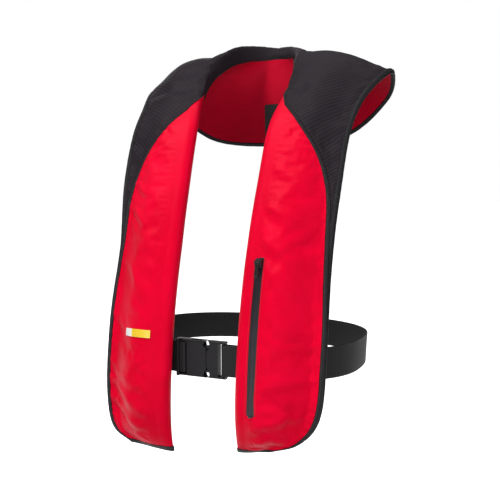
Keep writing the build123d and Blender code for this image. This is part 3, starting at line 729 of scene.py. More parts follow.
def zip_nearness(points):
    """Distance outside the zip's band, negative on it, and whether on the front."""
    beyond_x = np.abs(points[..., 0] - ZIP_X) - ZIP_WIDTH / 2
    beyond_z = np.maximum(points[..., 2] - ZIP_TOP_Z, ZIP_BOTTOM_Z - points[..., 2])
    front = points[..., 1] < lobe_y(-330) - 6
    beyond = np.maximum(beyond_x, beyond_z)
    return beyond, front


# ======================================================= settling of the cloth
SETTLE_FRAMES = 20
CLOTH_BENDING = 0.5


def settle(piece, held, fullness, pressure, reach):
    """Lets a cloth piece settle: it is cut a little full, is held at its seams
    and swells from inside.  No point moves further than reach (mm)."""
    group = piece.vertex_groups.new(name="held at seams")
    for index, share in enumerate(held):
        if share > 0.01:
            group.add([index], float(share), "REPLACE")
    start = values_of(piece.data.vertices, "co")
    modifier = piece.modifiers.new("Settle", "CLOTH")
    cloth = modifier.settings
    cloth.quality = 6
    cloth.mass = 0.12
    cloth.tension_stiffness = 18
    cloth.compression_stiffness = 18
    cloth.shear_stiffness = 6
    cloth.bending_stiffness = CLOTH_BENDING
    cloth.vertex_group_mass = group.name
    cloth.pin_stiffness = 1.0
    cloth.shrink_min = -fullness
    cloth.use_pressure = True
    cloth.uniform_pressure_force = pressure
    cloth.effector_weights.gravity = 0
    modifier.collision_settings.use_collision = False
    modifier.collision_settings.use_self_collision = False
    modifier.point_cache.frame_start = 1
    modifier.point_cache.frame_end = SETTLE_FRAMES
    for number in range(1, SETTLE_FRAMES + 1):
        scene.frame_set(number)
    shown = piece.evaluated_get(bpy.context.evaluated_depsgraph_get())
    settled = values_of(shown.data.vertices, "co")
    piece.modifiers.remove(modifier)
    piece.vertex_groups.clear()
    scene.frame_set(1)
    moved = settled - start
    length = np.maximum(np.linalg.norm(moved, axis=1), 1e-9)
    most = reach * MM
    scale = most * np.tanh(length / most) / length
    move_to(piece, start + moved * scale[:, None])


def push(piece, heights):
    """Moves each point along its normal, in millimetres."""
    points = values_of(piece.data.vertices, "co")
    normals = values_of(piece.data.vertices, "normal")
    move_to(piece, points + normals * np.asarray(heights)[:, None] * MM)


def rumple(points, size, seed):
    """Soft noise over points in millimetres, about -1 to 1."""
    scaled = points / size + np.array([seed * 7.3, seed * 3.1, seed * 1.7])
    return np.array([noise.noise(Vector(point)) for point in scaled])


def crease(points, start, end, width, height):
    """A drawn crease from start to end: a ridge with a hollow beside it."""
    start, end = np.array(start, float), np.array(end, float)
    run = end - start
    length = np.linalg.norm(run)
    away = points - start
    share = np.clip(away @ run / length**2, 0, 1)
    side = unit(np.cross(run, (0, -1, 0)))
    offset = away @ side + width * 0.35 * np.sin(share * 5.0)
    distance = np.linalg.norm(away - share[:, None] * run, axis=1)
    near = np.exp(-((distance / (width * 2.4)) ** 2)) * np.sin(pi * np.clip(share * 0.92 + 0.08, 0, 1)) ** 0.7
    ridge = np.exp(-((offset / width) ** 2)) - 0.75 * np.exp(
        -(((offset - width * 1.5) / (width * 1.3)) ** 2)
    )
    return height * near * ridge


CREASE_DEPTH = 2.3         # how much deeper creases lie than their listed heights


def add_creases(heights, points, creases, free):
    for start, end, width, height in creases:
        heights += CREASE_DEPTH * crease(points, start, end, width, height) * smooth(0, 0.5, free)


# ======================================================= cloth pieces
def cloth_grid(places, columns_at, point_at):
    """Points, places and positions across, for a grid of cloth."""
    points, across = [], []
    for place in places:
        row = columns_at(place)
        points.append(point_at(cut(place), row))
        across.append(row)
    across = np.array(across)
    return np.array(points), np.broadcast_to(np.asarray(places)[:, None], across.shape), across


def puckers(points, distance, pitch, height, depth, seed):
    """Small gathers drawn up along a stitched seam, dying out over depth."""
    along = rumple(points, 26.0, seed) * 4.0 + points[:, 2] + 0.35 * points[:, 0]
    strength = 0.55 + 0.45 * rumple(points, 45.0, seed + 1)
    return np.cos(2 * pi * along / pitch) * strength * height * np.exp(-((distance / depth) ** 2))


LABEL_PLACES = (3.03, 3.12)
LABEL_ACROSS = (0.10, 0.565)


def label_nearness(place, across):
    """1 under the label, falling to 0 a few millimetres outside it."""
    beyond_place = np.maximum(LABEL_PLACES[0] - place, place - LABEL_PLACES[1])
    beyond_across = np.maximum(LABEL_ACROSS[0] - across, across - LABEL_ACROSS[1])
    return (1 - smooth(0.01, 0.12, beyond_place)) * (1 - smooth(0.01, 0.12, beyond_across))


# Creases of each front panel: start, end (x, y, z), width and height.
LEFT_CREASES = [
    ((54, -128, -176), (120, -134, -196), 7, 1.5),
    ((66, -110, -130), (128, -116, -160), 8, 1.2),
    ((62, -140, -214), (140, -140, -262), 9, 1.7),
    ((80, -150, -248), (146, -152, -306), 9, 1.2),
    ((84, -160, -300), (148, -156, -352), 8, 0.9),
    ((82, -168, -392), (148, -160, -376), 8, 1.0),
    ((64, -172, -446), (132, -160, -418), 7, 1.5),
    ((60, -170, -462), (112, -162, -452), 6, 1.1),
    ((50, -138, -226), (66, -150, -240), 6, 1.0),
]
RIGHT_CREASES = [
    ((-140, -108, -146), (-96, -124, -166), 5, 1.6),
    ((-146, -122, -176), (-84, -136, -206), 6, 1.9),
    ((-148, -128, -192), (-112, -136, -216), 4, 1.5),
    ((-140, -142, -246), (-70, -156, -286), 9, 1.4),
    ((-150, -150, -318), (-92, -162, -350), 9, 1.1),
    ((-146, -156, -404), (-60, -170, -442), 8, 1.9),
    ((-142, -154, -430), (-74, -168, -462), 7, 1.8),
    ((-120, -158, -396), (-56, -172, -414), 7, 1.3),
    ((-148, -150, -380), (-108, -160, -410), 6, 1.1),
]


def front_panel(name, hand, creases):
    """A red front panel: round the inner fold, across the lobe to its trim."""
    count = 142
    places = spread(0.10, 7.25, count)
    if hand < 0:
        places = WHOLE - places

    def columns_at(place):
        end = panel_edge(place)
        if min(place, WHOLE - place) < 4:
            end = 1 - TRIM_WIDTH * 0.35 / cut(place).flat
            ease = smooth(3.2, 4.0, min(place, WHOLE - place))
            end = end * (1 - ease) + panel_edge(place) * ease
        fold_end = min(0.0, end)
        fold_part = spread(-1, fold_end, 14)
        front = spread(fold_end, end, 30)[1:] if end > 0 else spread(fold_end, fold_end + 1e-4, 30)[1:]
        return np.concatenate([fold_part, front])

    points, place_grid, across = cloth_grid(places, columns_at, lambda section, w: section.cover(w))
    piece = grid_piece(name, points, MATERIALS["red_cloth"])
    middle = (hand * 95, 60, -300)
    face_outwards(piece, middle)
    flat_points = points.reshape(-1, 3)
    place_flat = np.minimum(place_grid, WHOLE - place_grid).ravel()
    across_flat = across.ravel()
    end_flat = np.repeat([columns_at(place)[-1] for place in places], across.shape[1])
    flats = np.repeat([cut(place).flat for place in places], across.shape[1])
    from_seam = (end_flat - across_flat) * flats
    held = 1 - smooth(0, 10, from_seam)
    held = np.maximum(held, 1 - smooth(0.02, 0.25, across_flat))
    held = np.maximum(held, 1 - smooth(0.4, 0.8, place_flat))
    held = np.maximum(held, smooth(6.4, 6.9, place_flat))
    beyond, front = zip_nearness(flat_points)
    if hand > 0:
        held = np.maximum(held, (1 - smooth(1.5, 7.0, beyond)) * front)
    else:
        held = np.maximum(held, label_nearness(place_flat, across_flat))
    settle(piece, held, 0.018, 0.35, 2.4)
    free = (1 - np.clip(held, 0, 1)) * smooth(0.0, 0.14, across_flat)
    heights = puckers(flat_points, np.maximum(from_seam, 0), 8.5, 1.0, 15.0, 3 + hand) * smooth(
        1.0, 4.0, from_seam,
    )
    heights *= smooth(0.4, 0.9, place_flat) * (place_flat < 6.8)
    add_creases(heights, flat_points, creases, free)
    heights += 0.7 * rumple(flat_points, 38.0, 5 + hand) * free + 0.25 * rumple(flat_points, 13.0, 8 + hand) * free
    if hand > 0:
        heights -= 1.35 * (1 - smooth(-0.4, 1.2, beyond)) * front
    push(piece, heights)
    thicken(piece, CLOTH)
    return piece


def back_edge(section):
    """Reach of the back sheets' outer edge."""
    return section.width + BACK_OVERHANG * (1 - float(smooth(4.0, 6.5, section.place)))


def back_piece(name, places, material, seed):
    """A sheet on the body side, from behind the inner fold to its outer hem."""

    def columns_at(place):
        section = cut(place)
        return spread(section.wrap + 0.2, back_edge(section) - TRIM_WIDTH * 0.4, 24)

    points, _, across = cloth_grid(places, columns_at, lambda section, reach: section.at(reach, 0.9))
    piece = grid_piece(name, points, material)
    flat_points = points.reshape(-1, 3)
    widths = np.repeat([back_edge(cut(place)) for place in places], across.shape[1])
    from_hem = widths - across.ravel()
    middle = np.sin(pi * np.clip(across.ravel() / widths, 0, 1))
    heights = 0.8 * rumple(flat_points, 34.0, seed) * middle + 0.3 * rumple(flat_points, 12.0, seed + 2) * middle
    heights += puckers(flat_points, from_hem, 9.5, 0.5, 12.0, seed)
    section_out = np.repeat([cut(place).sided(cut(place).out) for place in places], across.shape[1], axis=0)
    move_to(piece, (flat_points + section_out * heights[:, None]) * MM)
    thicken(piece, 0.9)
    return piece


red_left = front_panel("front_panel_left", 1, LEFT_CREASES)
red_right = front_panel("front_panel_right", -1, RIGHT_CREASES)
fitted(red_left, "jacket", "red_cloth", "cover_panel_left")
fitted(red_right, "jacket", "red_cloth", "cover_panel_right")


def shoulder_piece():
    """The black yoke over both shoulders and the collar, with its tails."""
    places = np.concatenate([spread(4.25, 9.6, 84), spread(9.65, 14.35, 60), spread(14.4, WHOLE - 4.25, 84)])

    def columns_at(place):
        start = panel_edge(place)
        end = 1 - TRIM_WIDTH * 0.35 / cut(place).flat
        fold_part = spread(start, 0, 16)[:-1] if start < 0 else spread(start, start + 1e-4, 16)[:-1]
        return np.concatenate([fold_part, spread(max(start, 0), end, 34)])

    points, place_grid, across = cloth_grid(places, columns_at, lambda section, w: section.cover(w))
    piece = grid_piece("shoulder_yoke", points, MATERIALS["black_ripstop"])
    face_outwards(piece, (0, 20, -120))
    flat_points = points.reshape(-1, 3)
    rows = across.shape[1]
    flats = np.repeat([cut(place).flat for place in places], rows)
    starts = np.repeat([panel_edge(place) for place in places], rows)
    from_outer = (1 - across.ravel()) * flats
    from_inner = (across.ravel() - starts) * flats
    held = 1 - smooth(0, 9, np.minimum(from_outer, from_inner))
    place_flat = np.minimum(place_grid, WHOLE - place_grid).ravel()
    held = np.maximum(held, 1 - smooth(4.4, 4.9, place_flat))
    held = np.maximum(held, (1 - smooth(-0.8, -0.5, across.ravel())))
    settle(piece, held, 0.022, 0.4, 3.0)
    free = 1 - np.clip(held, 0, 1)
    heights = 1.1 * rumple(flat_points, 42.0, 21) * free + 0.4 * rumple(flat_points, 15.0, 23) * free
    heights += puckers(flat_points, from_outer, 9.0, 0.45, 9.0, 25) * smooth(1.0, 4.0, from_outer)
    add_creases(heights, flat_points, SHOULDER_CREASES, free)
    push(piece, heights)
    thicken(piece, CLOTH)
    return piece


SHOULDER_CREASES = [
    ((-70, -40, -20), (-150, -30, -36), 7, 1.6),
    ((-66, -20, 4), (-160, 0, -12), 8, 1.3),
    ((-110, -70, -80), (-150, -90, -120), 7, 1.4),
    ((70, -46, -40), (120, -80, -96), 7, 1.8),
    ((78, -30, -22), (150, -40, -60), 9, 1.3),
    ((72, 0, 6), (150, 20, 4), 10, 1.3),
    ((110, -80, -90), (146, -100, -146), 7, 1.5),
    ((-60, 60, 50), (-110, 84, 10), 9, 1.2),
    ((60, 60, 50), (110, 84, 10), 9, 1.2),
    ((0, 92, 30), (70, 92, -30), 10, 1.4),
    ((-20, 92, 20), (-90, 92, -20), 10, 1.2),
]
yoke = fitted(shoulder_piece(), "jacket", "black_ripstop", "shoulder_cover")

BACK_JOIN = 7.6
left_places = spread(0.10, BACK_JOIN, 96)
back_left = back_piece("back_sheet_cloth_left", left_places, MATERIALS["black_cloth"], 31)
back_right = back_piece("back_sheet_cloth_right", WHOLE - left_places, MATERIALS["black_cloth"], 34)
lining = back_piece("collar_lining", spread(BACK_JOIN, WHOLE - BACK_JOIN, 170), MATERIALS["red_lining"], 37)
fitted(back_left, "jacket", "black_cloth", "back_sheet_left")
fitted(back_right, "jacket", "black_cloth", "back_sheet_right")
fitted(lining, "jacket", "red_lining", "back_lining")


# ======================================================= tapes over the edges
# One turn of a folded tape: share of its width from the cloth towards the
# edge, and depth below the cloth's face (negative stands proud).
TAPE_RING = [
    (0.0, -0.1), (0.05, -0.75), (0.2, -1.0), (0.5, -1.05), (0.8, -1.0), (0.95, -0.7),
    (1.02, 0.2), (0.97, 1.3), (0.8, 1.75), (0.4, 1.8), (0.05, 1.6), (0.0, 1.0),
]
ring_share = np.array([row[0] for row in TAPE_RING])
ring_depth = np.array([row[1] for row in TAPE_RING])


def tape_along(name, places, end_at, ring_at, width=TRIM_WIDTH):
    """A folded tape along the yoke, ending where end_at says."""
    rings = []
    for place in places:
        section = cut(place)
        end = end_at(section)
        rings.append(ring_at(section, end, (1 - ring_share) * width))
    points = np.array(rings)
    wobble = 1 + 0.05 * np.sin(np.arange(len(points)) * 1.9) * (np.arange(len(points)) % 7 < 5)
    middle = points.mean(axis=1, keepdims=True)
    points = middle + (points - middle) * wobble[:, None, None]
    return face_tube(grid_piece(name, points, MATERIALS["black_binding"], closed=True))


def face_tube(piece):
    """Makes a closed mesh's faces point outwards."""
    made = bmesh.new()
    made.from_mesh(piece.data)
    bmesh.ops.recalc_face_normals(made, faces=made.faces)
    made.to_mesh(piece.data)
    made.free()
    return piece


def on_cover(section, end, back):
    return section.cover(end - back / section.flat, ring_depth)


def on_back(section, end, back):
    return section.at(end - back, 0.5 - (ring_depth - 0.4))


def foot_tape(name, hand, ring_point):
    """Tape along a lobe's foot, from its inner fold to the corner."""
    rings = []
    for across in spread(0, 1, 44):
        ring = []
        for share, depth in TAPE_RING:
            place = 0.31 * (1 - share)
            ring.append(ring_point(cut(place if hand > 0 else WHOLE - place), across, depth))
        rings.append(ring)
    return face_tube(grid_piece(name, np.array(rings), MATERIALS["black_binding"], closed=True))


def cover_foot_point(section, across, depth):
    return section.cover(across * 2 - 1, depth)


def back_foot_point(section, across, depth):
    reach = section.wrap + (back_edge(section) - section.wrap) * across
    return section.at(reach, 0.9 - depth)


def sided_places(low, high, count, hand):
    places = spread(low, high, count)
    return places if hand > 0 else WHOLE - places


def panel_end(section):
    """Where the trim on a front panel ends: the lobe's edge, then the seam."""
    place = section.place
    ease = float(smooth(3.2, 4.3, place))
    return (1 - ease) + (panel_edge(place) + 2.6 / section.flat) * ease


for side, hand in (("left", 1), ("right", -1)):
    run = tape_along("trim_run", sided_places(0.0, 7.32, 230, hand), panel_end, on_cover)
    base = foot_tape("trim_foot", hand, cover_foot_point)
    trim = joined(f"front_trim_{side}", [run, base])
    soften(trim)
    fitted(trim, "jacket", "black_binding", f"panel_binding_{side}", f"panel_piping_{side}")
    back_run = tape_along("back_run", sided_places(0.0, BACK_JOIN, 150, hand), back_edge, on_back)
    back_base = foot_tape("back_foot", hand, back_foot_point)
    back_trim = joined(f"back_trim_{side}", [back_run, back_base])
    soften(back_trim)
    fitted(back_trim, "jacket", "black_binding", f"back_binding_{side}")


def tucked_on_cover(section, end, back):
    """The shoulder trim's tails sink behind the front panel's trim."""
    sunk = 2.6 * (1 - float(smooth(3.6, 4.5, section.place)))
    return section.cover(end - back / section.flat, ring_depth + sunk)


shoulder_trim = tape_along(
    "shoulder_trim", spread(3.5, WHOLE - 3.5, 320), lambda section: 1.0, tucked_on_cover,
)
fitted(soften(shoulder_trim), "jacket", "black_binding", "shoulder_binding")
hem_trim = tape_along("hem_trim", spread(BACK_JOIN, WHOLE - BACK_JOIN, 170), back_edge, on_back)
fitted(soften(hem_trim), "jacket", "black_binding", "hem_binding")


def neck_point(section, end, back):
    return section.at(section.wrap + 4.5 - back, 0.4 - (ring_depth * 0.45))


neck_trim = tape_along("neck_trim", spread(7.0, WHOLE - 7.0, 190), lambda section: 0, neck_point, 7.0)
fitted(soften(neck_trim), "jacket", "black_binding", "neck_tape")


# ======================================================= stitching
def stitch_row(name, points, normals, material, pitch=3.1, length=2.2, radius=0.32, proud=0.1):
    """A row of lockstitches: a short rounded thread at each pitch."""
    steps = np.linalg.norm(np.diff(points, axis=0), axis=1)
    along = np.concatenate([[0], np.cumsum(steps)])
    middles = np.arange(pitch, along[-1] - pitch / 2, pitch)
    where = np.stack([np.interp(middles, along, points[:, k]) for k in range(3)], axis=1)
    facing = np.stack([np.interp(middles, along, normals[:, k]) for k in range(3)], axis=1)
    ahead = np.stack([np.interp(middles + 0.5, along, points[:, k]) for k in range(3)], axis=1)
    sides = 6
    profile = [(-0.5, 0.25), (-0.36, 0.9), (0.0, 1.0), (0.36, 0.9), (0.5, 0.25)]
    verts, faces = [], []
    for centre, out, front in zip(where, facing, ahead):
        run = unit(front - centre)
        out = unit(out - run * (out @ run))
        side = np.cross(run, out)
        base = len(verts)
        for share, fat in profile:
            dip = radius * 1.6 * (2 * abs(share)) ** 3
            for corner in range(sides):
                turn = 2 * pi * corner / sides
                offset = side * cos(turn) * radius * fat + out * (sin(turn) * radius * fat + proud - dip)
                verts.append(centre + run * share * length + offset)
        for ring in range(len(profile) - 1):
            for corner in range(sides):
                after = (corner + 1) % sides
                low, high = base + ring * sides, base + (ring + 1) * sides
                faces.append((low + corner, low + after, high + after, high + corner))
        faces.append(tuple(base + corner for corner in range(sides))[::-1])
        faces.append(tuple(base + (len(profile) - 1) * sides + corner for corner in range(sides)))
    return face_tube(make_mesh(name, verts, faces, material, np.array(verts)[:, :2]))


def stitch_line(places, point_at):
    """Points and outward directions of a seam line along the yoke."""
    points, normals = [], []
    for place in places:
        section = cut(place)
        surface, above = point_at(section, 0.0), point_at(section, 1.0)
        points.append(surface)
        normals.append(unit(above - surface))
    return np.array(points), np.array(normals)


def on_trim(end_at, share=0.62, proud=1.05):
    """A line on a tape of the cover, at a share of the tape's width from the edge."""

    def point_at(section, lift):
        back = TRIM_WIDTH * share / section.flat
        return section.cover(np.array([end_at(section) - back]), np.array([-proud - lift]))[0]

    return point_at


def on_hem(share=0.62, low=False):
    def point_at(section, lift):
        height = (1.95 + lift) if not low else (-0.9 - lift)
        return section.at(np.array([back_edge(section) - TRIM_WIDTH * share]), np.array([height]))[0]

    return point_at


thread = MATERIALS["thread_black"]
rows = []
for hand in (1, -1):
    rows.append(
        stitch_row("row", *stitch_line(sided_places(0.15, 7.2, 260, hand), on_trim(panel_end)), thread)
    )
rows.append(
    stitch_row("row", *stitch_line(spread(4.6, WHOLE - 4.6, 330), on_trim(lambda section: 1.0)), thread)
)
for low in (False, True):
    rows.append(stitch_row("row", *stitch_line(spread(0.2, WHOLE - 0.2, 420), on_hem(low=low)), thread))
seam_threads = joined("seam_threads", rows)
fitted(seam_threads, "jacket", "black_binding")


# ======================================================= zip
def zip_band():
    """Coated zip band with a raised middle and a rounded foot."""
    rows, columns = 120, 17
    angles = spread(zip_top, zip_bottom, rows)
    across_share = spread(-1, 1, columns)
    points = np.zeros((rows, columns, 3))
    for r, angle in enumerate(angles):
        from_foot = (angle - zip_bottom) * zip_radius
        rounding = sqrt(max(0.0, 1 - max(0.0, 1 - from_foot / 4.0) ** 2))
        half = ZIP_WIDTH / 2 * max(rounding, 0.08)
        for c, share in enumerate(across_share):
            across = share * half
            ridge = 0.5 * np.exp(-((across / 1.0) ** 2)) + 0.12 * np.cos(across * 2.2)
            points[r, c] = on_zip(angle, across, -0.75 + ridge - 0.5 * abs(share) ** 6)
    piece = grid_piece("zip_band", points, MATERIALS["zip_tape"])
    face_outwards(piece, (ZIP_X, 0, -330))
    thicken(piece, 0.7)
    return piece


fitted(zip_band(), "jacket", "zip_tape", "zip_tape", "zip_coil")


def zip_threads():
    made = []
    for side in (-1, 1):
        line, facing = [], []
        for angle in spread(zip_top + 0.002, zip_bottom, 80):
            line.append(on_zip(angle, side * (ZIP_WIDTH / 2 + 1.5), -0.15))
            facing.append(np.array([0, -cos(angle), sin(angle)]))
        made.append(
            stitch_row("row", np.array(line), np.array(facing), MATERIALS["thread_red"], 2.9, 2.1, 0.3, 0.05),
        )
    return joined("zip_threads", made)


fitted(zip_threads(), "jacket", "red_cloth")


# ======================================================= webbing
# Half of a strap's rounded section: share of the half width, share of the
# half thickness; the selvedges are a little thicker than the middle.
STRAP_SECTION = [
    (-1.0, 0.0), (-0.99, 0.75), (-0.955, 1.08), (-0.9, 1.0), (-0.5, 0.94), (0.0, 0.92),
    (0.5, 0.94), (0.9, 1.0), (0.955, 1.08), (0.99, 0.75), (1.0, 0.0),
]


def strap(name, middles, facing, widthwise, width=WEBBING, thickness=WEBBING_THICKNESS):
    """A webbing strap along a line of middles with outward directions."""
    ring = STRAP_SECTION + [(across, -height) for across, height in STRAP_SECTION[-2:0:-1]]
    rows = []
    for middle, out, wide in zip(middles, facing, widthwise):
        rows.append([middle + wide * a * width / 2 + out * h * thickness / 2 for a, h in ring])
    points = np.array(rows)
    piece = grid_piece(name, points, MATERIALS["black_webbing"], closed=True)
    uv = piece.data.uv_layers["cloth"]
    count = len(ring)
    steps = np.linalg.norm(np.diff(points.mean(axis=1), axis=0), axis=1)
    along = np.concatenate([[0], np.cumsum(steps)])
    across = np.array([(a + 1) * width / 2 for a, h in ring])
    flat = np.stack([np.repeat(along, count), np.tile(across, len(points))], axis=1) * MM
    index = np.zeros(len(piece.data.loops), int)
    piece.data.loops.foreach_get("vertex_index", index)
    uv.data.foreach_set("uv", flat[index].ravel())
    return face_tube(piece)


def belt_point(angle, inset):
    c, s = cos(radians(angle)), sin(radians(angle))
    power = 2 / BELT_SQUARENESS
    depth = (BELT_REAR if s > 0 else BELT_FRONT) - inset
    x = (BELT_WIDTH / 2 - inset) * abs(c) ** power * (1 if c > 0 else -1)
    y = depth * abs(s) ** power * (1 if s > 0 else -1)
    return np.array([x, y + BELT_MIDDLE_Y, belt_z])


UP = np.array([0.0, 0.0, 1.0])


def belt():
    angles = spread(-BELT_START, 180 + BELT_START, 190)
    middles, facing, wide = [], [], []
    for angle in angles:
        run = unit(belt_point(angle + 0.5, 0.8) - belt_point(angle - 0.5, 0.8))
        out = unit(np.cross(run, UP))
        lean = 0.035 * sin(radians(angle * 2.0 + 40)) + 0.02 * sin(radians(angle * 5.0))
        middles.append(belt_point(angle, WEBBING_THICKNESS / 2))
        wide.append(unit(UP + out * lean))
        facing.append(unit(out - UP * lean))
    return strap("belt_strap", middles, facing, wide)


fitted(soften(belt()), "jacket", "black_webbing", "belt_webbing")

plug_low, plug_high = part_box("buckle_plug")
socket_loop_low, socket_loop_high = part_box("socket_webbing")
plug_loop_low, plug_loop_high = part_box("plug_webbing")
buckle_y = (plug_low.y + plug_high.y) / 2 / MM


def bar_loop(name, bar_x, end_x):
    """Webbing that comes from its stitched end, round a buckle bar and back."""
    toward = 1 if bar_x > end_x else -1
    half_room = 2.65 + WEBBING_THICKNESS / 2
    near_end = WEBBING_THICKNESS / 2 + 0.12
    line = []
    for share in spread(0, 1, 30):
        gap = near_end + (half_room - near_end) * float(smooth(0.35, 0.85, share))
        line.append((end_x + (bar_x - end_x) * share, -gap))
    for turn in spread(-80, 80, 13):
        line.append((bar_x + toward * half_room * 0.55 * cos(radians(turn)), half_room * sin(radians(turn))))
    for share in spread(1, 0, 30):
        gap = near_end + (half_room - near_end) * float(smooth(0.35, 0.85, share))
        line.append((end_x + (bar_x - end_x) * share, gap))
    points = np.array([(x, buckle_y + y, belt_z) for x, y in line])
    runs = np.gradient(points, axis=0)
    facing = [unit(np.cross(run, UP)) for run in runs]
    return strap(name, points, facing, [UP] * len(points))


socket_bar = socket_loop_high.x / MM - WEBBING_THICKNESS / 2 - 1.2
plug_bar = plug_loop_low.x / MM + WEBBING_THICKNESS / 2 + 1.2
socket_strap = bar_loop("socket_strap", socket_bar, socket_loop_low.x / MM + 1.0)
plug_strap = bar_loop("plug_strap", plug_bar, plug_loop_high.x / MM - 1.0)
fitted(soften(socket_strap), "jacket", "black_webbing", "socket_webbing")
fitted(soften(plug_strap), "buckle_plug", "black_webbing", "plug_webbing")


def resampled(line, step):
    line = np.array(line, float)
    along = np.concatenate([[0], np.cumsum(np.linalg.norm(np.diff(line, axis=0), axis=1))])
    at = np.linspace(0, along[-1], max(2, int(along[-1] / step)))
    return np.stack([np.interp(at, along, line[:, k]) for k in range(line.shape[1])], axis=1)


def rounded(line, step, passes):
    """Evenly spaced points along a bent line, with its corners eased."""
    points = resampled(line, step)
    for _ in range(passes):
        points[1:-1] = points[1:-1] * 0.5 + (points[:-2] + points[2:]) * 0.25
    return points


def upright_strap(name, line, x, step, passes, *section):
    """A strap along a bent line of (y, z) points at one x."""
    path = rounded(line, step, passes)
    points = np.stack([np.full(len(path), float(x)), path[:, 0], path[:, 1]], axis=1)
    wide = np.array([1.0, 0, 0])
    facing = [unit(np.cross(wide, run)) for run in np.gradient(points, axis=0)]
    return strap(name, points, facing, [wide] * len(points), *section)


def back_strap():
    """From the collar lining down to a loop round the belt."""
    rear = BELT_MIDDLE_Y + BELT_REAR
    loop_gap, half_web = 0.5, WEBBING_THICKNESS / 2
    front = rear - WEBBING_THICKNESS - loop_gap - half_web
    behind = rear + loop_gap + half_web
    hem_y = BACK_DEPTH + 6
    hang = 1.9 + half_web
    under = belt_z - WEBBING / 2 - loop_gap - half_web
    over = belt_z + WEBBING / 2 + loop_gap + half_web
    line = [
        (BACK_DEPTH + 3.1 - hang, -27), (hem_y - hang, -BACK_DROP), (hem_y - hang + 1, -BACK_DROP - 20),
        (front, over + 14), (front, under), (behind, under), (behind, over), (
            front + WEBBING_THICKNESS + 0.1, over + 1,
        ),
    ]
    return upright_strap("back_strap_webbing", line, 0, 2.0, 3)


fitted(soften(back_strap()), "jacket", "black_webbing", "back_strap")


KEEPER_WIDTH = 14.0
KEEPER_THICKNESS = 1.3


def keeper(side):
    """A loop behind a lobe that the belt runs through."""
    low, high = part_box(f"belt_keeper_{side}")
    x = (low.x + high.x) / 2 / MM
    lobe_side = lobe_y(belt_z) + LOBE_TWIST * (abs(x) - half_gap) / LOBE_WIDTH
    top, bottom = high.z / MM - 1.2, low.z / MM + 1.2
    far = high.y / MM - 1.2
    near = lobe_side + 1.6
    line = [
        (near + 0.4, top + 7),
        (near, top - 1),
        (far, top - 3),
        (far, bottom + 3),
        (near, bottom + 1),
        (near + 0.4, bottom - 7),
    ]
    piece = upright_strap(f"keeper_strap_{side}", line, x, 1.5, 4, KEEPER_WIDTH, KEEPER_THICKNESS)
    return fitted(soften(piece), "jacket", "black_webbing", f"belt_keeper_{side}")


keeper("left")
keeper("right")


def box_stitch(name, centre, right, up, out, width, height, body):
    """A box of stitches with a cross, as on a sewn strap end."""
    centre, right, up, out = (np.array(v, float) for v in (centre, right, up, out))
    corners = [
        centre + right * sx * width / 2 + up * sy * height / 2
        for sx, sy in ((-1, -1), (1, -1), (1, 1), (-1, 1))
    ]
    lines = [(0, 1), (1, 2), (2, 3), (3, 0), (0, 2), (1, 3)]
    made = []
    for a, b in lines:
        line = np.array([corners[a] + (corners[b] - corners[a]) * share for share in spread(0, 1, 12)])
        made.append(stitch_row("row", line, np.repeat(out[None], 12, axis=0), thread, 2.8, 2.0, 0.3, 0.05))
    return fitted(joined(name, made), body, "black_webbing")


loop_face = buckle_y - 0.12 - WEBBING_THICKNESS
box_stitch(
    "socket_strap_threads", (socket_loop_low.x / MM + 12, loop_face, belt_z), (1, 0, 0), (0, 0, 1),
    (0, -1, 0), 16, 30, "jacket"
)
strap_face = BACK_DEPTH + 4.5 - 1.9 - WEBBING_THICKNESS
box_stitch(
    "back_strap_threads",
    (0, strap_face - 0.2, -46),
    (1, 0, 0),
    unit(np.array([0, -2.9, -63])),
    (0, -1, 0),
    30,
    30,
    "jacket",
)


# ======================================================= hidden cloth parts
def bladder():
    """Coated cloth bladder, flat in the lobes and folded up round the neck."""
    rings = []
    for place in spread(0.85, WHOLE - 0.85, 220):
        section = cut(place)
        growth = float(np.clip((section.place - 4.2) / 2, 0, 1))
        depth = 1.2 + 5.0 * growth
        reach = spread(section.wrap + 7.5, section.width - 33, 12)
        share = (reach - section.wrap) / section.width
        rim = np.sin(pi * spread(0, 1, 12)) ** 0.4
        top = section.at(reach, 1.5 + depth * np.minimum(1, 1.6 - 1.55 * share) * (0.35 + 0.65 * rim))
        bottom = section.at(reach, np.full(12, 1.5))
        rings.append(np.concatenate([top, bottom[::-1]]))
    return face_tube(grid_piece("bladder_cloth", np.array(rings), MATERIALS["bladder_film"], closed=True))


fitted(bladder(), "jacket", "bladder_film", "bladder")


def closure_strip(name, hand, height, node):
    """One half of the hook-and-loop closure along a lobe's outer edge."""
    rings = []
    for place in sided_places(0.7, BACK_JOIN - 0.3, 120, hand):
        section = cut(place)
        low = section.width - BINDING_WIDTH - CLOSURE_WIDTH
        reach = spread(low, section.width - BINDING_WIDTH - 0.5, 9)
        nap = 0.10 * np.sin(np.arange(9) * 2.4 + place * 40)
        top = section.at(reach, height + 0.6 + nap)
        bottom = section.at(reach, np.full(9, height))
        rings.append(np.concatenate([top, bottom[::-1]]))
    piece = face_tube(grid_piece(name, np.array(rings), MATERIALS["hook_and_loop"], closed=True))
    return fitted(piece, "jacket", "hook_and_loop", node)


for side, hand in (("left", 1), ("right", -1)):
    closure_strip(f"hook_strip_{side}", hand, 1.2, f"closure_hook_{side}")
    closure_strip(f"loop_strip_{side}", hand, 2.2, f"closure_loop_{side}")


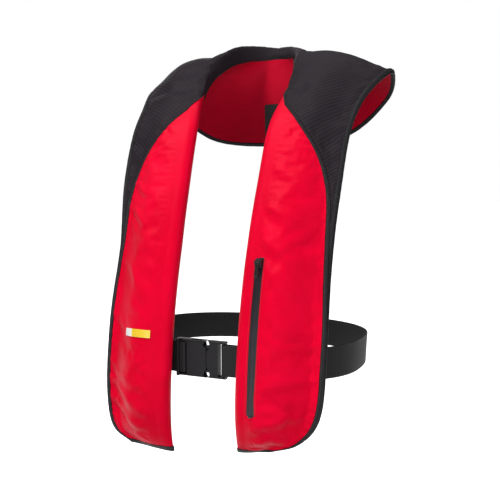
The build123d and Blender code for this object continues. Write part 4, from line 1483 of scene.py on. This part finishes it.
# ======================================================= label
def label():
    """A plain label, part pale and part yellow, sewn to the right lobe."""
    rows, columns = 12, 40
    points = np.zeros((rows, columns, 3))
    lifts = 0.35 + 0.12 * np.sin(spread(0, 3 * pi, columns))
    for r, place in enumerate(spread(WHOLE - LABEL_PLACES[1], WHOLE - LABEL_PLACES[0], rows)):
        section = cut(place)
        points[r] = section.cover(spread(*LABEL_ACROSS, columns), -lifts - 1.2)
    piece = grid_piece("plain_label", points, MATERIALS["label_cloth"])
    face_outwards(piece, (-95, 0, -336))
    piece.data.materials.append(MATERIALS["yellow_plastic"])
    for face in piece.data.polygons:
        face.material_index = int(face.center.x > -0.097)
    thicken(piece, 0.5)
    return piece


fitted(label(), "jacket", "label_cloth", "blank_label")

# ======================================================= hard parts
for node_name in (
    "buckle_socket",
    "buckle_plug",
    "latch_upper",
    "latch_lower",
    "belt_adjuster",
    "inflator_body",
    "whistle",
):
    rounding = frame["nodes"][node_name].modifiers.new("Moulded edges", "BEVEL")
    rounding.width = 0.8 * MM
    rounding.segments = 3
    rounding.limit_method = "ANGLE"
    rounding.angle_limit = radians(40)
    rounding.harden_normals = False

# ======================================================= areas of the soft sheets, worked out and not declared
def shown_area(piece):
    """Area of a piece's outer face in square metres, without its thickness."""
    return float(values_of(piece.data.polygons, "area", 1).sum())


def declare(piece):
    """Works out a sheet's own finished area, with the cloth held stretched on the bladder cloth; nothing is
    declared or stored. The stated area can't show that the cloth was stretched."""
    area = shown_area(piece)
    held, rests_on = "stretched", ["bladder_cloth"]
    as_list(rests_on)


declare(red_left)
declare(red_right)
declare(yoke)
declare(back_left)
declare(back_right)
declare(lining)

# ======================================================= stage
FLOOR_Z = -0.62
bpy.ops.mesh.primitive_circle_add(vertices=96, radius=40, fill_type="NGON", location=(0, 0, FLOOR_Z))
floor = bpy.context.object
floor.name = "floor"
floor.visible_diffuse = False
floor_material, floor_shader, _ = finish_material("Pale studio floor", Roughness=0.8, Specular_IOR_Level=0.1)
floor_shader.inputs["Base Color"].default_value = rgb(0.9, 0.9, 0.9)
floor_shader.inputs["Emission Color"].default_value = rgb(1, 1, 1)
floor_shader.inputs["Emission Strength"].default_value = 1.0
floor.data.materials.append(floor_material)

world = bpy.data.worlds.new("Studio")
scene.world = world
world.use_nodes = True
sky = world.node_tree.nodes["Background"]
sky.inputs["Color"].default_value = rgb(1, 1, 1)
sky.inputs["Strength"].default_value = 0.22
seen = world.node_tree.nodes.new("ShaderNodeBackground")
seen.inputs["Color"].default_value = rgb(1, 1, 1)
seen.inputs["Strength"].default_value = 1.0
sky_links = world.node_tree.links
rays = world.node_tree.nodes.new("ShaderNodeLightPath")
choose = world.node_tree.nodes.new("ShaderNodeMixShader")
sky_links.new(rays.outputs["Is Camera Ray"], choose.inputs[0])
sky_links.new(sky.outputs[0], choose.inputs[1])
sky_links.new(seen.outputs[0], choose.inputs[2])
sky_links.new(choose.outputs[0], world.node_tree.nodes["World Output"].inputs["Surface"])


def aimed(location, target):
    direction = Vector(target) - Vector(location)
    return direction.to_track_quat("-Z", "Y").to_euler()


def softbox(name, location, target, size, power):
    light = bpy.data.lights.new(name, "AREA")
    light.shape = "RECTANGLE"
    light.size, light.size_y = size
    light.energy = power
    holder = bpy.data.objects.new(name, light)
    holder.location = location
    holder.rotation_euler = aimed(location, target)
    scene.collection.objects.link(holder)


MIDDLE = (0.0, -0.03, -0.22)
softbox("key", (-0.55, -0.85, 1.15), MIDDLE, (0.4, 0.4), 23)
softbox("low", (0.3, -1.4, -0.42), MIDDLE, (1.4, 0.35), 10)
softbox("side", (1.5, -1.1, 0.5), MIDDLE, (0.5, 0.8), 9)
softbox("left", (-0.9, -1.7, 0.3), MIDDLE, (0.5, 1.0), 2)
softbox("top", (0.1, 0.3, 1.6), MIDDLE, (1.2, 0.8), 8)
softbox("behind", (-1.2, 1.6, 0.6), MIDDLE, (1.2, 1.2), 6)

LENS = 51.7
CAMERA_PLACE = (0.4082, -0.9390, -0.1628)
CAMERA_TARGET = (0.0035, -0.030, -0.2398)
camera_data = bpy.data.cameras.new("camera")
camera_data.lens = LENS
camera_data.sensor_width = 36.0
camera = bpy.data.objects.new("camera", camera_data)
camera.location = CAMERA_PLACE
camera.rotation_euler = aimed(CAMERA_PLACE, CAMERA_TARGET)
scene.collection.objects.link(camera)
scene.camera = camera
scene.view_settings.view_transform = "Standard"
